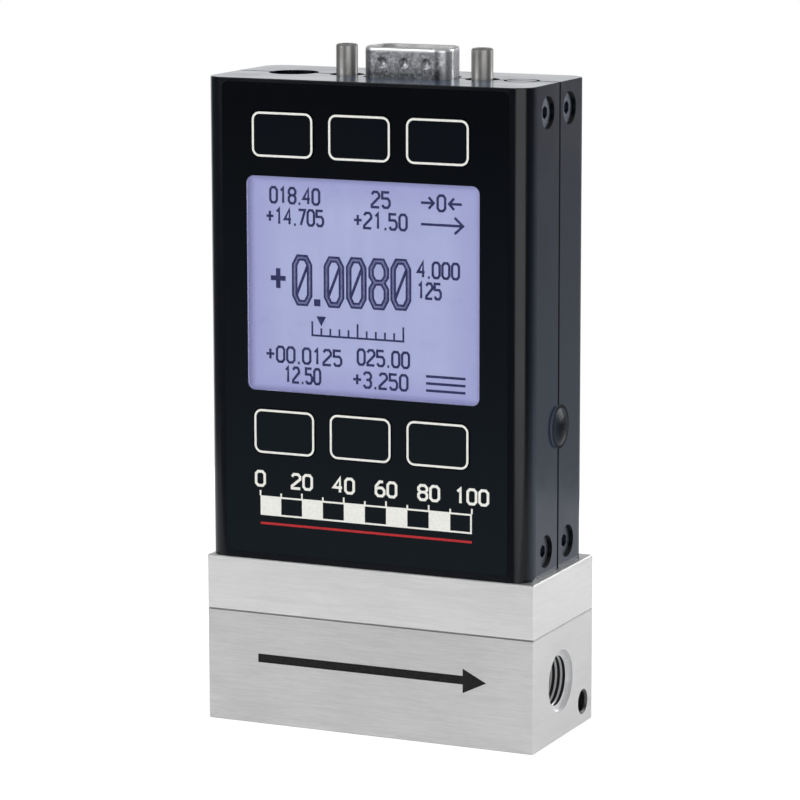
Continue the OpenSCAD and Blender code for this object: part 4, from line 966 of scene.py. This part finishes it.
def connector_shell():
    """Pressed metal shell with a rounded rim, dimples and a radiused foot, on its flange."""
    ring, profile = dsub_points(), shell_profile()
    count = len(ring)
    vertices, faces = [], []
    for offset, z in profile:
        for point, normal in ring:
            pressed = 0.0
            if offset == 0.0 and abs(normal.y) > STRAIGHT:
                pressed = dimple_depth(point.x, z, 1 if normal.y > 0 else -1)
            place = point + normal * (offset - pressed)
            vertices.append((place.x, place.y, z))
    for row in range(len(profile) - 1):
        faces += band(row * count, (row + 1) * count, count)
    add_flange(vertices, faces, 0, (len(profile) - 1) * count, count)
    placed = [(DSUB_X + x, DSUB_Y + y, z) for x, y, z in vertices]
    piece = add_piece("connector_shell", placed, faces, NICKEL, "root")
    piece.data.materials.append(NICKEL_INSIDE)
    last_row = len(profile) - 1
    for face in piece.data.polygons[(last_row - INNER_ROWS) * count:last_row * count]:
        face.material_index = 1
    piece.data.shade_smooth()
    piece.data.set_sharp_from_angle(angle=SHARP_ANGLE)
    return piece


def band(low, high, count):
    """Faces between two rings of points."""
    return [[low + i, low + (i + 1) % count, high + (i + 1) % count, high + i] for i in range(count)]


def circle(x, y, radius, count):
    turns = [2 * math.pi * i / count for i in range(count)]
    return [(x + radius * math.cos(turn), y + radius * math.sin(turn)) for turn in turns]


def add_flange(vertices, faces, top_ring, bottom_ring, count):
    """Plate round the shell's foot, with a hole for each post."""
    outlines = [rounded_outline(0, 0, FLANGE_W, FLANGE_D, FLANGE_R)]
    outlines += [circle(side * POST_SPACING / 2, 0, POST_HOLE_R, POST_HOLE_POINTS) for side in (-1, 1)]
    starts = {}
    for z in (DSUB_LOW, DSUB_LOW - SHEET):
        for outline in outlines:
            starts.setdefault(z, []).append(len(vertices))
            vertices += [(x, y, z) for x, y in outline]
    for z, ring in ((DSUB_LOW, top_ring), (DSUB_LOW - SHEET, bottom_ring)):
        indices = [list(range(start, start + len(o))) for start, o in zip(starts[z], outlines)]
        indices.append(list(range(ring, ring + count)))
        flat = [i for group in indices for i in group]
        corners = [[Vector(vertices[i]) for i in group] for group in indices]
        faces += [[flat[i] for i in corner] for corner in tessellate_polygon(corners)]
    for top, bottom, outline in zip(starts[DSUB_LOW], starts[DSUB_LOW - SHEET], outlines):
        faces += band(bottom, top, len(outline))


# Stage

# Fitted to the photograph; places in millimetres
CAMERA_AT = Vector((257.79, -566.59, 165.85)) * MM
CAMERA_TO = Vector((0.037, 0.0, 56.16)) * MM
CAMERA_ROLL = math.radians(-0.11)
FOCAL_PIXELS = 3685.3
IMAGE_PIXELS = 800
SENSOR = 36.0

# Lights as (name, place, size, watts) in metres, all turned to the object's middle
LIGHTS = (
    ("key_light", (-0.6, -0.8, 0.4), (0.6, 0.6), 5.4),
    ("front_light", (0.72, -0.76, 0.05), (1.0, 0.5), 3.4),
    ("side_light", (0.6, 0.72, 0.32), (0.5, 0.5), 4.8),
)
LIGHTS_TO = Vector((0.0, 0.0, 0.06))

# How bright the floor and the room are: seen straight on, in reflections, and as light on the object
FLOOR_GLOW = 0.62
FLOOR_GLOW_REFLECTED = 0.08
ROOM_FRONT = 0.12
ROOM_BACK = 0.16
ROOM_ABOVE = 0.28
ROOM_LEFT = 0.88
ROOM_RIGHT = 0.17
WORLD_LEVEL = 0.52

# Left, right, front and back edge of the floor in millimetres
FLOOR_EDGES = (-260, 260, -120, 190)


def place_camera():
    data = bpy.data.cameras.new("camera")
    data.sensor_width = SENSOR
    data.lens = FOCAL_PIXELS * SENSOR / IMAGE_PIXELS
    data.clip_start = 0.01
    data.clip_end = 20.0
    camera = bpy.data.objects.new("camera", data)
    bpy.context.scene.collection.objects.link(camera)
    camera.location = CAMERA_AT
    aim = (CAMERA_TO - CAMERA_AT).to_track_quat("-Z", "Y").to_matrix().to_4x4()
    camera.rotation_euler = (aim @ Matrix.Rotation(CAMERA_ROLL, 4, "Z")).to_euler()
    bpy.context.scene.camera = camera


def place_lights():
    for name, at, size, watts in LIGHTS:
        data = bpy.data.lights.new(name, "AREA")
        data.shape = "RECTANGLE"
        data.size, data.size_y = size
        data.energy = watts
        light = bpy.data.objects.new(name, data)
        bpy.context.scene.collection.objects.link(light)
        light.location = at
        light.rotation_euler = (LIGHTS_TO - Vector(at)).to_track_quat("-Z", "Y").to_euler()


def place_world():
    """White all round. Reflections find the room darker in front of the object than behind it."""
    world = bpy.data.worlds.new("studio")
    bpy.context.scene.world = world
    world.use_nodes = True
    tree = world.node_tree
    background = tree.nodes["Background"]
    background.inputs["Color"].default_value = (1.0, 1.0, 1.0, 1.0)
    path = tree.nodes.new("ShaderNodeLightPath").outputs
    reflected = node_math(tree, "MULTIPLY", path["Is Glossy Ray"], room_reflection(tree))
    open_view = node_math(tree, "MAXIMUM", path["Is Camera Ray"], path["Is Transmission Ray"])
    seen = node_math(tree, "MAXIMUM", open_view, path["Is Glossy Ray"])
    hidden = node_math(tree, "MULTIPLY", node_math(tree, "SUBTRACT", 1.0, seen), WORLD_LEVEL)
    total = node_math(tree, "ADD", node_math(tree, "MAXIMUM", open_view, reflected), hidden)
    tree.links.new(total, background.inputs["Strength"])


def room_reflection(tree):
    """Strength for reflections: dim towards the front, brighter above and behind, most behind on the left.

    The ranges are parts of a direction from the object, so they go from -1 to 1.
    """
    toward = node_parts(tree, tree.nodes.new("ShaderNodeTexCoord").outputs["Generated"])

    def share(axis, start, stop, low, high):
        return node_range(tree, toward[axis], start, stop, low, high, "SMOOTHSTEP")

    back = share("Y", 0.0, 0.9, ROOM_FRONT, ROOM_BACK)
    above = share("Z", 0.2, 0.9, 0.0, ROOM_ABOVE)
    left = share("X", -0.34, -0.24, ROOM_LEFT, 0.0)
    right = share("X", -0.2, 0.3, 0.0, ROOM_RIGHT)
    low = share("Z", 0.25, 0.5, 1.0, 0.0)
    behind = share("Y", 0.3, 0.6, 0.0, 1.0)
    low_behind = node_math(tree, "MULTIPLY", low, behind)
    sides = node_math(tree, "MULTIPLY", node_math(tree, "ADD", left, right), low_behind)
    return node_math(tree, "ADD", node_math(tree, "MAXIMUM", back, above), sides)


def white_floor(name):
    """White floor that keeps the soft shadow of what stands on it."""
    material = bpy.data.materials.new(name)
    material.use_nodes = True
    tree = material.node_tree
    tree.nodes.clear()
    out = tree.nodes.new("ShaderNodeOutputMaterial")
    diffuse = tree.nodes.new("ShaderNodeBsdfDiffuse")
    diffuse.inputs["Color"].default_value = (0.8, 0.8, 0.8, 1.0)
    path = tree.nodes.new("ShaderNodeLightPath").outputs
    open_view = node_math(tree, "MAXIMUM", path["Is Camera Ray"], path["Is Transmission Ray"])
    direct = node_math(tree, "MULTIPLY", open_view, FLOOR_GLOW)
    reflected = node_math(tree, "MULTIPLY", path["Is Glossy Ray"], FLOOR_GLOW_REFLECTED)
    glow = tree.nodes.new("ShaderNodeEmission")
    tree.links.new(node_math(tree, "MAXIMUM", direct, reflected), glow.inputs["Strength"])
    both = tree.nodes.new("ShaderNodeAddShader")
    tree.links.new(diffuse.outputs[0], both.inputs[0])
    tree.links.new(glow.outputs[0], both.inputs[1])
    tree.links.new(both.outputs[0], out.inputs["Surface"])
    return material


def place_floor():
    left, right, front, back = FLOOR_EDGES
    vertices = [(left, front, 0), (right, front, 0), (right, back, 0), (left, back, 0)]
    mesh = bpy.data.meshes.new("floor")
    mesh.from_pydata([Vector(v) * MM for v in vertices], [], [[0, 1, 2, 3]])
    mesh.materials.append(white_floor("floor_white"))
    floor = bpy.data.objects.new("floor", mesh)
    bpy.context.scene.collection.objects.link(floor)


dress_nodes()
display_figures()
key_outlines()
front_scale()
flow_arrow()
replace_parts(connector_shell(), "dsub_shell")
place_camera()
place_world()
place_floor()
place_lights()

bpy.context.scene.view_settings.view_transform = "Standard"
